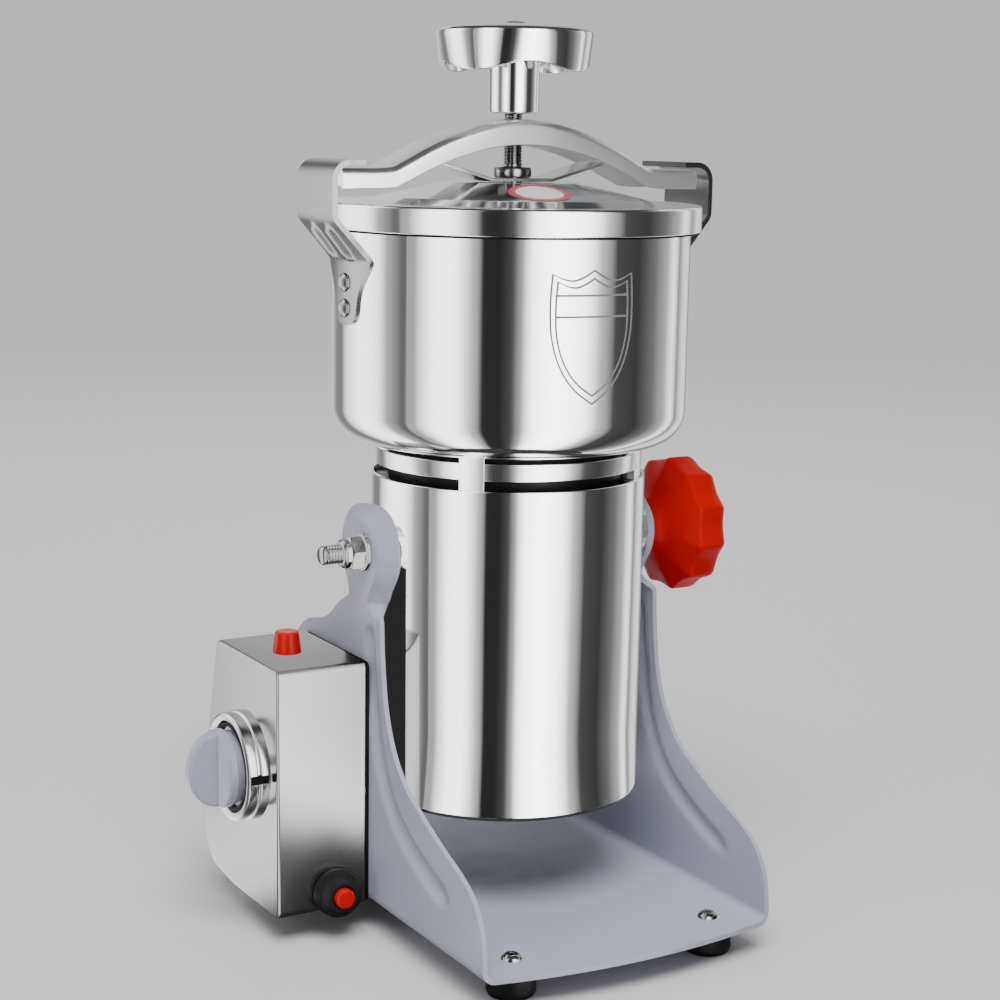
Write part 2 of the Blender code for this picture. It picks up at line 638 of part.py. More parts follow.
def make_rivets():
    tab_face = BOWL_RADIUS + GAP + HOOK_SHEET + GAP
    inner_face = BOWL_RADIUS - BOWL_WALL - GAP
    profile = [(0, tab_face + 1.6), (1.6, tab_face + 1.4), (3.0, tab_face + 0.7), (3.6, tab_face),
               (1.9, tab_face), (1.9, inner_face), (3.0, inner_face - 0.1), (2.6, inner_face - 0.9),
               (0, inner_face - 1.2)]
    for side, name in ((-1, "left"), (1, "right")):
        for number, height in enumerate(RIVET_HEIGHTS, 1):
            rivet = turned(f"rivet_{name}_{number}", profile, zinc, 10)
            put(rivet, head, (0, 0, height), "+X" if side > 0 else "-X")


# Pivots

def make_pivots():
    wall = STAND_HALF_WIDTH
    inner = wall - SHEET
    for name, side in (("left", -1), ("right", 1)):
        towards = "-X" if side < 0 else "+X"
        end = 87.0 if side < 0 else 78.0
        profile = [(0, end), (3.2, end), (3.9, end - 0.8), (3.9, 54.0), (7.5, 54.0), (7.5, 50.0), (0, 50.0)]
        stud = turned("pivot_stud_" + name, profile, zinc, 20)
        put(stud, head, (0, 0, PIVOT_Z), towards)
        spacer = ring("pivot_spacer_" + name, 11.0, 4.3, MOTOR_RADIUS + 1.2, inner - GAP, satin, MEDIUM)
        put(spacer, head, (0, 0, PIVOT_Z), towards)
    washer = ring("pivot_washer", 8.0, 4.3, wall + GAP, wall + GAP + 1.4, zinc, MEDIUM)
    put(washer, head, (0, 0, PIVOT_Z), "-X")
    low = wall + 2.0
    hex_nut("pivot_nut", 7.4, 4.25, low, low + 8.0, head, (0, 0, PIVOT_Z), "-X")


def make_star_knob():
    """A thick handle with scallops round its rim, its back a cone that narrows to the neck."""
    def section(angle):
        rim = STAR_RADIUS - 1.8 * abs(math.sin(STAR_SCALLOPS * angle / 2))
        return [(0, 98.0), (17, 97.3), (rim - 3.6, 95.8), (rim, 93.0), (rim, 81.6), (20, 76.6),
                (13.0, 72.4), (12.0, 68.4), (4.3, 68.4), (4.3, 80.0), (0, 80.0)]

    knob = lobed("clamp_knob", section, 4 * STAR_SCALLOPS, red_plastic)
    put(knob, star_axis, (0, 0, PIVOT_Z), "+X", math.radians(STAR_TURN))


# Lid, beam and spindle

def make_lid():
    t = SHEET_LID
    top = [(LID_RADIUS - 1.2, LID_TOP - 0.1), (LID_RADIUS, LID_TOP - 1.3), (LID_RADIUS, LID_BAND_BOTTOM),
           (LID_RADIUS - t, LID_BAND_BOTTOM), (LID_RADIUS - t, LID_TOP - t), (60.0, LID_TOP - t + 0.2),
           (54.0, LID_TOP + 0.9), (27.0, LID_CROWN - t), (4.3, LID_CROWN - t), (4.3, LID_CROWN),
           (27.5, LID_CROWN), (55.0, LID_TOP + 2.2), (60.0, LID_TOP + 0.4)]
    put(turned("lid", top, polished, LARGE, closed=True), lid_axis, (0, 0, 0))
    gasket = ring("lid_gasket", 75.6, 68.0, BOWL_RIM + GAP, LID_TOP - t - GAP, silicone, LARGE)
    put(gasket, lid_axis, (0, 0, 0))
    low = LID_CROWN + GAP
    flat, wing, rise = 14.0, 38.5, 6.8
    bent = [(-wing, low + rise), (-flat, low), (flat, low), (wing, low + rise)]
    outline = bent + [(x, z + 1.4) for x, z in reversed(bent)]
    plate = prism("pressure_plate", outline, "Y", -9.0, 9.0, brushed)
    put(plate, lid_axis, (0, 0, 0))
    hole = rod("cut_plate_hole", 4.3, low - 5, low + 8, None, SMALL, collection=helpers)
    helper_cut(plate, hole, lid_axis)


def beam_top(x):
    along = min(abs(x) / BEAM_KINK, 1.0)
    return BEAM_END_TOP + BEAM_RISE * (1 - along ** 1.8)


def beam_depth(x):
    along = min(abs(x) / BEAM_KINK, 1.0)
    return 10.2 - 2.2 * along


def make_beam():
    stations = [-BEAM_HALF_LENGTH] + [BEAM_KINK * (i / 8 - 1) for i in range(17)] + [BEAM_HALF_LENGTH]
    half, wall, bend = BEAM_HALF_WIDTH, 2.0, 3.0

    def section(x):
        top, low = beam_top(x), beam_top(x) - beam_depth(x)
        outer = [(-half, low)] + arc((-half + bend, top - bend), bend, 180, 90, 3)
        outer += arc((half - bend, top - bend), bend, 90, 0, 3) + [(half, low)]
        inner = [(half - wall, low)] + arc((half - bend, top - bend), bend - wall, 0, 90, 2)
        inner += arc((-half + bend, top - bend), bend - wall, 90, 180, 2) + [(-half + wall, low)]
        return [(x, y, z) for y, z in outer + inner]

    beam = put(lofted("clamp_beam", section, stations, satin), yoke, (0, 0, 0))
    top = beam_top(0)
    hole = rod("cut_beam_hole", 4.4, top - 6, top + 6, None, SMALL, collection=helpers)
    helper_cut(beam, hole, yoke)
    under = top - SHEET - 1.0
    hex_nut("beam_nut", 7.5, 4.2, under - 6.0, under, yoke, (0, 0, 0))


def make_spindle():
    low = LID_CROWN + GAP + 1.4 + GAP
    under = LID_CROWN - SHEET_LID - GAP
    profile = [(0, 352.0), (THREAD_RADIUS, 352.0), (THREAD_RADIUS, low + 3.8), (7.8, low + 3.8), (7.8, low),
               (THREAD_RADIUS, low), (THREAD_RADIUS, under), (6.5, under), (6.5, 306.0), (0, 306.0)]
    put(turned("spindle_screw", profile, zinc, 24), spindle, (0, 0, 0))

    def section(angle):
        edge = 357.2 + 1.8 * math.cos(4 * angle)
        return [(0, 375.6), (4.8, 375.4), (6.2, 374.6), (20, 373.9), (30.4, 372.3), (WHEEL_RADIUS, 370.6),
                (30.4, edge), (28.0, edge), (28.4, 368.4), (11.5, 370.4), (10.4, 353.0), (10.4, 339.4),
                (9.8, 338.8), (4.2, 338.8), (4.2, 352.4), (0, 352.4)]

    wheel = lobed("hand_wheel", section, 40, polished)
    put(wheel, spindle, (0, 0, 0), "+Z", math.radians(WHEEL_WAVE_TURN))


make_stand()
make_feet()
make_control_box()
make_timer()
make_reset()
make_lamp_and_gland()
make_motor_shell()
make_vent_collar()
make_motor_insides()
make_rotor()
make_blades()
make_bowl()
make_hook("hook_left", -1)
make_hook("hook_right", 1)
make_rivets()
make_pivots()
make_star_knob()
make_lid()
make_beam()
make_spindle()
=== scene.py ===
"""The looks of a swing-type hammer mill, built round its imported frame. Lengths are millimetres."""

import json
import math

import bmesh
import bpy
from mathutils import Matrix, Vector


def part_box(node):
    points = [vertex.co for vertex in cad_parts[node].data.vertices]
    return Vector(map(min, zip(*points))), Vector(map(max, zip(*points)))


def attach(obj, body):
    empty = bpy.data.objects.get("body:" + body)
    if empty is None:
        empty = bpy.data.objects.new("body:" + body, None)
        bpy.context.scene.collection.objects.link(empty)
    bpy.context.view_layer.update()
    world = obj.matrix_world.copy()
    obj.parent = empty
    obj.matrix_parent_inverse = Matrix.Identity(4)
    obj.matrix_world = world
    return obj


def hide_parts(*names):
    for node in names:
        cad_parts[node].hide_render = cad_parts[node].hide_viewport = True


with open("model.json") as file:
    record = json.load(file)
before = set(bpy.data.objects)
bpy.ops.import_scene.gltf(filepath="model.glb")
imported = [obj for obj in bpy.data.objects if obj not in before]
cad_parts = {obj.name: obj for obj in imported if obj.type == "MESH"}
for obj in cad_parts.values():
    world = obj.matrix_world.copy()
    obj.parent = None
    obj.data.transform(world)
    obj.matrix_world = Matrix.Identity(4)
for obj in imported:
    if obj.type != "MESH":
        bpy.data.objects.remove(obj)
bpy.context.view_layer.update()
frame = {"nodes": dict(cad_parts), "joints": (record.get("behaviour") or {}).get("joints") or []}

MM = 0.001
bowl_low, bowl_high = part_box("bowl")
AXIS_X = (bowl_low[0] + bowl_high[0]) / 2 / MM
AXIS_Y = (bowl_low[1] + bowl_high[1]) / 2 / MM
JOINTS = {joint["name"]: joint for joint in frame["joints"]}
PIVOT_Z = JOINTS["head_tilt"]["pos_m"][2] / MM

SHEET = 2.0
STAND_HALF = 67.8
STAND_FRONT, STAND_REAR, STAND_BOW = -104.0, 96.0, 8.0
FLOOR_GAP = 12.0
BEND = 5.0
EAR = 20.0
GROOVE_DEEP = 1.9
DISH_DEEP, DISH_WIDE = 6.2, 7.5
BOX_OUTER_X, BOX_INNER_X = -109.5, -68.2
BOX_FRONT, BOX_TOP = -7.0, 117.0
MOTOR_RADIUS, MOTOR_LOW, MOTOR_TOP = 58.0, 54.3, 191.3
COLLAR_RADIUS = 56.3
BOWL_RADIUS, BOWL_LOW, BOWL_RIM = 74.0, 205.0, 298.6
BOWL_WALL = 1.8
HOOK_NEAR, HOOK_FAR, HOOK_SHEET = BOWL_RADIUS + 0.15, 87.3, 2.2
HOOK_TOP, HOOK_CURL, HOOK_TIP = 317.8, 5.5, 75.0
RIVET_HEIGHTS = (271.7, 261.5)
LID_RADIUS, LID_BAND_LOW, LID_TOP, LID_CROWN = 78.4, 292.5, 303.0, 311.2
LID_SHEET = 1.5
STRIP_LOW, STRIP_SHEET = LID_CROWN + 0.3, 1.4
BEAM_END, BEAM_KINK, BEAM_HALF, BEAM_WALL = 83.5, 60.0, 13.0, 2.0
THREAD, PITCH = 3.95, 1.25
STAR_SCALLOPS, STAR_RADIUS, SCALLOP_DEEP = 11, 30.0, 2.3
STAR_TURN, WHEEL_TURN = math.radians(-78.3), math.radians(-17.4)
TIMER = (BOX_OUTER_X - 0.1, 22.0, 71.0)
TIMER_DISC, TIMER_DISC_TOP = 16.4, 14.5
RESET = (-84.0, BOX_FRONT, 20.5)
LAMP = (-92.0, 22.0, BOX_TOP)
GLAND = (-89.0, 75.6, 40.0)
STEPS = 144


# Placing and making pieces

TOWARDS = {
    "+Z": Matrix.Identity(3),
    "+X": Matrix.Rotation(math.pi / 2, 3, "Y"),
    "-X": Matrix.Rotation(-math.pi / 2, 3, "Y"),
    "-Y": Matrix.Rotation(math.pi / 2, 3, "X"),
}


def unmirrored(piece):
    """Keeps a piece out of the polished steel's reflections, which then show only the light ring."""
    piece.visible_glossy = False
    return piece


def place(piece, where=(0, 0, 0), towards="+Z", turn=0.0):
    """Puts a piece at a point counted from below the bowl's axis, its local +Z along an axis."""
    spot = Vector((AXIS_X + where[0], AXIS_Y + where[1], where[2])) * MM
    spun = TOWARDS[towards] @ Matrix.Rotation(turn, 3, "Z")
    piece.matrix_world = Matrix.Translation(spot) @ spun.to_4x4()
    return piece


def make(name, shape, material, smooth=40.0):
    mesh = bpy.data.meshes.new(name)
    bmesh.ops.remove_doubles(shape, verts=shape.verts, dist=0.000002)
    bmesh.ops.recalc_face_normals(shape, faces=shape.faces)
    shape.to_mesh(mesh)
    shape.free()
    mesh.shade_smooth()
    mesh.set_sharp_from_angle(angle=math.radians(smooth))
    if material:
        mesh.materials.append(material)
    piece = bpy.data.objects.new(name, mesh)
    bpy.context.scene.collection.objects.link(piece)
    return piece


def settle(piece, body, slot, *nodes):
    """Applies the piece's modifiers and hands it to its CAD body."""
    if piece.modifiers:
        bpy.context.view_layer.update()
        seen = piece.evaluated_get(bpy.context.evaluated_depsgraph_get())
        mesh = bpy.data.meshes.new_from_object(seen)
        piece.modifiers.clear()
        piece.data = mesh
    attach(piece, body)
    if nodes:
        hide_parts(*nodes)
    return piece


def arc(centre, radius, start, end, steps):
    points = []
    for i in range(steps + 1):
        angle = math.radians(start + (end - start) * i / steps)
        points.append((centre[0] + radius * math.cos(angle), centre[1] + radius * math.sin(angle)))
    return points


def filleted(corners, closed=True, steps=6):
    """The outline through (a, b, radius) corners, with each corner rounded by its radius."""
    points = []
    count = len(corners)
    for i, (a, b, radius) in enumerate(corners):
        here = Vector((a, b))
        if radius <= 0 or (not closed and i in (0, count - 1)):
            points.append((a, b))
            continue
        back = (Vector(corners[i - 1][:2]) - here).normalized()
        ahead = (Vector(corners[(i + 1) % count][:2]) - here).normalized()
        half = back.angle(ahead) / 2
        reach = radius / math.tan(half)
        centre = here + (back + ahead).normalized() * (radius / math.sin(half))
        start = here + back * reach - centre
        end = here + ahead * reach - centre
        first = math.atan2(start.y, start.x)
        swing = (math.atan2(end.y, end.x) - first + math.pi) % (2 * math.pi) - math.pi
        for k in range(steps + 1):
            angle = first + swing * k / steps
            points.append((centre.x + radius * math.cos(angle), centre.y + radius * math.sin(angle)))
    return points


def smooth_line(points, per=8):
    """A Catmull-Rom line through the points."""
    line = []
    padded = [points[0]] + list(points) + [points[-1]]
    for a, b, c, d in zip(padded, padded[1:], padded[2:], padded[3:]):
        a, b, c, d = Vector(a), Vector(b), Vector(c), Vector(d)
        for k in range(per):
            t = k / per
            line.append(tuple(0.5 * ((2 * b) + (c - a) * t + (2 * a - 5 * b + 4 * c - d) * t * t
                                     + (3 * b - a - 3 * c + d) * t ** 3)))
    line.append(tuple(points[-1]))
    return line


def spun(name, section, material, steps=STEPS, closed=True, smooth=40.0):
    """Sweeps section(angle), a list of (radius, height), round local Z. An open one ends on the axis."""
    shape = bmesh.new()
    spokes = []
    for step in range(steps):
        angle = 2 * math.pi * step / steps
        spoke = []
        for radius, height in section(angle):
            across, along = radius * MM * math.cos(angle), radius * MM * math.sin(angle)
            spoke.append(shape.verts.new((across, along, height * MM)))
        spokes.append(spoke)
    for here, after in zip(spokes, spokes[1:] + spokes[:1]):
        for i in range(len(here) - (0 if closed else 1)):
            j = (i + 1) % len(here)
            shape.faces.new((here[i], here[j], after[j], after[i]))
    bmesh.ops.remove_doubles(shape, verts=shape.verts, dist=0.000005)
    bmesh.ops.dissolve_degenerate(shape, edges=shape.edges, dist=0.000001)
    return make(name, shape, material, smooth)


def turned(name, corners, material, steps=STEPS, closed=True, arc_steps=5, smooth=40.0):
    """A lathe shape from (radius, height, fillet) corners."""
    profile = filleted(corners, closed, arc_steps)
    return spun(name, lambda angle: profile, material, steps, closed, smooth)


def prism(name, outline, across, low, high, material, smooth=40.0):
    order = {"X": (1, 2), "Y": (0, 2), "Z": (0, 1)}[across]
    depth = "XYZ".index(across)
    shape = bmesh.new()
    rows = []
    for level in (low, high):
        row = []
        for pair in outline:
            point = [0.0, 0.0, 0.0]
            point[order[0]], point[order[1]], point[depth] = pair[0] * MM, pair[1] * MM, level * MM
            row.append(shape.verts.new(point))
        rows.append(row)
    for i in range(len(outline)):
        j = (i + 1) % len(outline)
        shape.faces.new((rows[0][i], rows[0][j], rows[1][j], rows[1][i]))
    shape.faces.new(rows[0])
    shape.faces.new(rows[1])
    return make(name, shape, material, smooth)


def bevel(piece, width, segments=3, angle=40.0):
    step = piece.modifiers.new("edges", "BEVEL")
    step.width = width * MM
    step.segments = segments
    step.limit_method = "ANGLE"
    step.angle_limit = math.radians(angle)
    step.harden_normals = True
    return piece


# Materials

def surface(name, colour, roughness, metallic=0.0, **sockets):
    material = bpy.data.materials.new(name)
    material.use_nodes = True
    shader = material.node_tree.nodes["Principled BSDF"]
    shader.inputs["Base Color"].default_value = (*colour, 1.0)
    shader.inputs["Roughness"].default_value = roughness
    shader.inputs["Metallic"].default_value = metallic
    for socket, value in sockets.items():
        shader.inputs[socket.replace("_", " ")].default_value = value
    return material, shader


def wire(material, source, socket, shader, name):
    material.node_tree.links.new(source.outputs[socket], shader.inputs[name])


def add_node(material, kind, **settings):
    node = material.node_tree.nodes.new(kind)
    for name, value in settings.items():
        setattr(node, name, value)
    return node


def noise_of(material, scale, stretch=(1, 1, 1), detail=3.0):
    """Noise in the piece's own coordinates, stretched along its axes."""
    links = material.node_tree.links
    place_node = add_node(material, "ShaderNodeTexCoord")
    mapping = add_node(material, "ShaderNodeMapping")
    mapping.inputs["Scale"].default_value = stretch
    noise = add_node(material, "ShaderNodeTexNoise")
    noise.inputs["Scale"].default_value = scale
    noise.inputs["Detail"].default_value = detail
    links.new(place_node.outputs["Object"], mapping.inputs["Vector"])
    links.new(mapping.outputs["Vector"], noise.inputs["Vector"])
    return noise


def ramp_of(material, source, low, high, start=0.35, end=0.65):
    """Maps noise to a range of values or colours."""
    ramp = add_node(material, "ShaderNodeValToRGB")
    ramp.color_ramp.elements[0].position = start
    ramp.color_ramp.elements[1].position = end
    ramp.color_ramp.elements[0].color = (*low, 1.0) if isinstance(low, tuple) else (low, low, low, 1.0)
    ramp.color_ramp.elements[1].color = (*high, 1.0) if isinstance(high, tuple) else (high, high, high,
                                                                                      1.0)
    material.node_tree.links.new(source.outputs["Fac"], ramp.inputs["Fac"])
    return ramp


def bumped(material, shader, source, strength, distance):
    bump = add_node(material, "ShaderNodeBump")
    bump.inputs["Strength"].default_value = strength
    bump.inputs["Distance"].default_value = distance
    material.node_tree.links.new(source.outputs["Fac"], bump.inputs["Height"])
    material.node_tree.links.new(bump.outputs["Normal"], shader.inputs["Normal"])


def metal(name, colour, rough, grain, depth, stretch=(1, 1, 1), spread=0.25):
    """Steel or aluminium with a grain: roughness and a fine bump follow stretched noise."""
    material, shader = surface(name, colour, rough, 1.0)
    noise = noise_of(material, grain, stretch)
    ramp = ramp_of(material, noise, rough * (1 - spread), rough * (1 + spread))
    wire(material, ramp, "Color", shader, "Roughness")
    dull, bright = tuple(c * 0.96 for c in colour), tuple(min(c * 1.03, 1.0) for c in colour)
    tone = ramp_of(material, noise, dull, bright)
    wire(material, tone, "Color", shader, "Base Color")
    bumped(material, shader, noise, 0.25, depth)
    return material


def moulded(name, colour, rough, grain, depth, coat=0.0, variation=0.06, shine=0.5):
    """Plastic, rubber or paint with a fine texture."""
    material, shader = surface(name, colour, rough, Specular_IOR_Level=shine)
    shader.inputs["Coat Weight"].default_value = coat
    shader.inputs["Coat Roughness"].default_value = 0.06
    noise = noise_of(material, grain, detail=4.0)
    dull = tuple(c * (1 - variation) for c in colour)
    bright = tuple(min(1.0, c * (1 + variation)) for c in colour)
    tone = ramp_of(material, noise, dull, bright)
    wire(material, tone, "Color", shader, "Base Color")
    wear = noise_of(material, grain / 14, detail=3.0)
    ramp = ramp_of(material, wear, rough * 0.85, min(1.0, rough * 1.2))
    wire(material, ramp, "Color", shader, "Roughness")
    bumped(material, shader, noise, 0.3, depth)
    return material


def polish(name, colour, rough):
    """Mirror steel: only its roughness varies, in slow clouds."""
    material, shader = surface(name, colour, rough, 1.0)
    clouds = noise_of(material, 9.0, detail=2.0)
    ramp = ramp_of(material, clouds, rough * 0.8, rough * 1.25)
    wire(material, ramp, "Color", shader, "Roughness")
    return material


polished = polish("polished steel", (0.86, 0.86, 0.87), 0.07)
lid_steel = polish("spun lid steel", (0.84, 0.84, 0.85), 0.11)
band_steel = polish("collar steel", (0.84, 0.84, 0.85), 0.14)
# Painted shade: the control box's steel is the polished steel darkened to about a quarter.
shaded_box_steel = polish("satin box steel with painted shade", (0.26, 0.26, 0.265), 0.26)
# Painted shade: the bezel's steel is the polished steel darkened, so its reflections come out dim.
shaded_bezel_steel = polish("bezel steel with painted shade", (0.42, 0.42, 0.425), 0.16)
brushed = metal("brushed steel", (0.72, 0.72, 0.72), 0.20, grain=90.0, stretch=(1, 14, 1), depth=0.000002)
# Painted shade: the hooks' steel is the polished steel darkened to about a quarter, so the straps read
# dark.
shaded_hook_steel = polish("hook steel with painted shade", (0.24, 0.24, 0.245), 0.22)
satin = polish("satin beam", (0.88, 0.89, 0.90), 0.33)
zinc = metal("zinc plate", (0.24, 0.245, 0.24), 0.20, grain=160.0, depth=0.000002)
dark_steel = metal("tool steel", (0.40, 0.40, 0.42), 0.32, grain=160.0, depth=0.000005)
etched = moulded("etched steel", (0.22, 0.22, 0.23), 0.6, grain=900.0, depth=0.000002, variation=0.04,
                 shine=0.3)
copper = metal("copper wire", (0.72, 0.35, 0.18), 0.3, grain=400.0, depth=0.00005)
paint = moulded("silver paint", (0.395, 0.40, 0.485), 0.36, grain=1300.0, depth=0.000004,
                variation=0.02, shine=0.32)
rubber = moulded("black rubber", (0.010, 0.010, 0.011), 0.50, grain=1500.0, depth=0.00002, shine=0.12)
black = moulded("black plastic", (0.010, 0.010, 0.011), 0.4, grain=1100.0, depth=0.00002, shine=0.15)
grey = moulded("grey knob plastic", (0.36, 0.365, 0.45), 0.32, grain=900.0, depth=0.000004,
               variation=0.02, shine=0.2)
red = moulded("red knob plastic", (0.50, 0.0008, 0.0006), 0.36, grain=700.0, depth=0.000004,
              variation=0.03, shine=0.07)
lens = moulded("red lens", (0.55, 0.002, 0.001), 0.2, grain=500.0, depth=0.000002, variation=0.03,
               shine=0.12)
label_red = moulded("plain red label", (0.45, 0.06, 0.08), 0.35, grain=900.0, depth=0.000002, coat=0.3,
                    variation=0.03)
label_pale = moulded("plain pale label", (0.75, 0.70, 0.70), 0.35, grain=900.0, depth=0.000002,
                     coat=0.3, variation=0.03)
silicone = moulded("silicone", (0.8, 0.8, 0.78), 0.45, grain=900.0, depth=0.00001)
# Near-black for painted shade in the seams and gaps and under the lid's band, and for the timer's real
# index mark.
shade_and_mark_black = moulded("seam shadow", (0.006, 0.006, 0.006), 0.6, grain=900.0, depth=0.00001, shine=0.05)


# Stand

FRONT_EDGE = [(17, -104.3), (32, -102), (43, -95), (50, -84), (56, -69), (64, -52), (72, -38),
              (84, -27), (100, -20), (120, -16.6), (134, -15.6)]
REAR_EDGE = [(17, 96), (34, 95), (56, 91), (80, 84), (103, 74), (115, 64), (121, 56), (124, 47), (126, 38),
             (131, 29), (138, 22), (145, 18.5)]
GROOVE = [(-6, 127), (-8, 111), (-11, 95), (-15, 80), (-22, 66), (-31, 56), (-44, 48), (-57, 42),
          (-70, 37)]
FRONT_LINE = smooth_line(FRONT_EDGE, 6)
REAR_LINE = smooth_line(REAR_EDGE, 6)
GROOVE_LINE = [Vector(p) for p in smooth_line(GROOVE, 6)]


def edge_at(line, height):
    """The y of a (z, y) line at a height."""
    for (z0, y0), (z1, y1) in zip(line, line[1:]):
        if z0 <= height <= z1:
            return y0 + (y1 - y0) * (height - z0) / (z1 - z0)
    return line[0][1] if height < line[0][0] else line[-1][1]


def ease(low, high, value):
    """Rises smoothly from 0 at low to 1 at high."""
    t = min(max((value - low) / (high - low), 0.0), 1.0)
    return t * t * (3 - 2 * t)


def ear_reach(height):
    """Half the round ear's width at a height."""
    return math.sqrt(max(EAR ** 2 - (height - PIVOT_Z) ** 2, 0.0))


def wall_span(height):
    """The wall's front and rear edges at a height, blended into the round ear."""
    reach = ear_reach(height)
    front, rear = edge_at(FRONT_LINE, height), edge_at(REAR_LINE, height)
    turn = ease(134, 152, height)
    return front + (-reach - front) * turn, rear + (reach - rear) * turn


def groove_depth(y, z):
    """How far the long groove in the wall is pressed."""
    near = min((Vector((y, z)) - p).length for p in GROOVE_LINE)
    return GROOVE_DEEP * (1 - ease(2.4, 4.8, near))


def dish_depth(y, z):
    """How far the ear's front and top rim is pressed inwards."""
    if z < 136:
        return 0.0
    front, rear = wall_span(z)
    rim = min(EAR - Vector((y, z - PIVOT_Z)).length, y - front) if z > PIVOT_Z else y - front
    slope = 1 - min(max(rim / DISH_WIDE, 0.0), 1.0)
    return DISH_DEEP * slope * ease(136, 143, z) * (1 - ease(-9, 7, y))


def make_base_frame():
    """One folded sheet: left wall, base plate and right wall, skinned across its width, then thickened."""
    heights = [PIVOT_Z + EAR * math.cos(math.radians(a)) for a in range(2, 60, 3)]
    heights += [PIVOT_Z + EAR * 0.5 - i * 1.6 for i in range(1, 96)]
    heights = [z for z in heights if z > FLOOR_GAP + BEND + 1]
    outer, columns = STAND_HALF, 56
    rows = [(-1, "wall", z) for z in heights]
    rows += [(-1, "bend", 180 + 90 * i / 8) for i in range(9)]
    rows += [(0, "floor", -outer + BEND + (2 * outer - 2 * BEND) * i / 24) for i in range(1, 24)]
    rows += [(1, "bend", 270 + 90 * i / 8) for i in range(9)]
    rows += [(1, "wall", z) for z in reversed(heights)]
    shape = bmesh.new()
    skin = []
    for side, kind, value in rows:
        if kind == "wall":
            x, z = side * outer, value
            front, rear = wall_span(z)
        elif kind == "bend":
            a = math.radians(value)
            x = side * (outer - BEND) + BEND * math.cos(a)
            z = FLOOR_GAP + BEND + BEND * math.sin(a)
            front, rear = edge_at(FRONT_LINE, z), STAND_REAR
        else:
            x, z = value, FLOOR_GAP
            front, rear = STAND_FRONT, STAND_REAR
        if kind != "wall":
            front = STAND_FRONT - STAND_BOW * (1 - (x / outer) ** 2)
        row = []
        for c in range(columns + 1):
            t = c / columns
            y = front + (rear - front) * t
            push = 0.0
            if kind == "wall":
                push = groove_depth(y, z) - side * dish_depth(y, z)
            row.append(shape.verts.new(((x + push) * MM, y * MM, z * MM)))
        skin.append(row)
    for here, after in zip(skin, skin[1:]):
        for i in range(columns):
            shape.faces.new((here[i], here[i + 1], after[i + 1], after[i]))
    piece = place(make("base_frame_sheet", shape, paint, 50.0))
    solid = piece.modifiers.new("sheet", "SOLIDIFY")
    solid.thickness = SHEET * MM
    solid.offset = sheet_side(piece)
    solid.use_even_offset = True
    bevel(piece, 0.45, 3, 55.0)
    settle(unmirrored(piece), "stand", "silver_paint", "base_frame")


def sheet_side(piece):
    """Solidify's offset that puts the thickness inside the skin, whichever way its normals point."""
    lowest = min(piece.data.polygons, key=lambda face: face.center.z)
    return -1.0 if lowest.normal.z < 0 else 1.0


def foot_places():
    """(x, y) of each foot, from the frame."""
    places = []
    for number in range(1, 5):
        low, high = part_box(f"foot_{number}")
        places.append(((low[0] + high[0]) / 2 / MM - AXIS_X, (low[1] + high[1]) / 2 / MM - AXIS_Y))
    return places


def make_feet():
    top, low = FLOOR_GAP - 0.3, FLOOR_GAP + SHEET + 0.05
    pad = [(9.3, top, 0.6), (10.0, 2.0, 0.8), (9.2, 0.0, 0.8), (4.5, 0.0, 0.5), (4.0, 3.0, 0.5),
           (2.3, 3.0, 0), (2.3, top, 0)]
    pan = [(0, low + 1.0, 0), (0.9, low + 1.0, 0), (1.0, low + 2.3, 0.2), (2.6, low + 2.2, 1.0),
           (3.9, low + 1.2, 0.5), (4.1, low, 0), (1.9, low, 0), (1.9, 5.0, 0), (0, 5.0, 0)]
    for number, (x, y) in enumerate(foot_places(), 1):
        foot = turned(f"rubber_foot_{number}", pad, rubber, 72)
        place(foot, (x, y, 0))
        settle(foot, "stand", "black_rubber", f"foot_{number}")
        screw = turned(f"pan_screw_{number}", pan, zinc, 48, False)
        place(screw, (x, y, 0))
        settle(screw, "stand", "zinc_plate", f"foot_screw_{number}")


# Control box

def box_outline(shrink=0.0):
    """The control box's side as (y, z), with rounded corners and cut back at its lower rear."""
    s = shrink
    corners = [(BOX_FRONT + s, 11.8 + s, 3.0), (BOX_FRONT + s, BOX_TOP - s, 2.5),
               (56.0 - s, BOX_TOP - s, 4.0), (76.0 - s, 36.0 + s, 26.0), (66.0 - s, 14.5 + s, 14.0),
               (40.0, 11.8 + s, 0.0)]
    return filleted(corners, True, 10)


def make_control_box():
    shell = prism("control_box_shell", box_outline(), "X", BOX_OUTER_X, BOX_INNER_X - 0.9, shaded_box_steel, 30.0)
    place(shell)
    bevel(shell, 1.2, 4, 50.0)
    settle(shell, "stand", "brushed_steel", "control_box")
    inner, outer = BOX_INNER_X - 1.2, -STAND_HALF - 0.05
    # Painted shade: a near-black band in the seam between the box and the stand's wall.
    seam_shade = prism("control_box_seam_shade", box_outline(0.7), "X", inner, outer, shade_and_mark_black, 30.0)
    settle(place(seam_shade), "stand", "black_rubber")


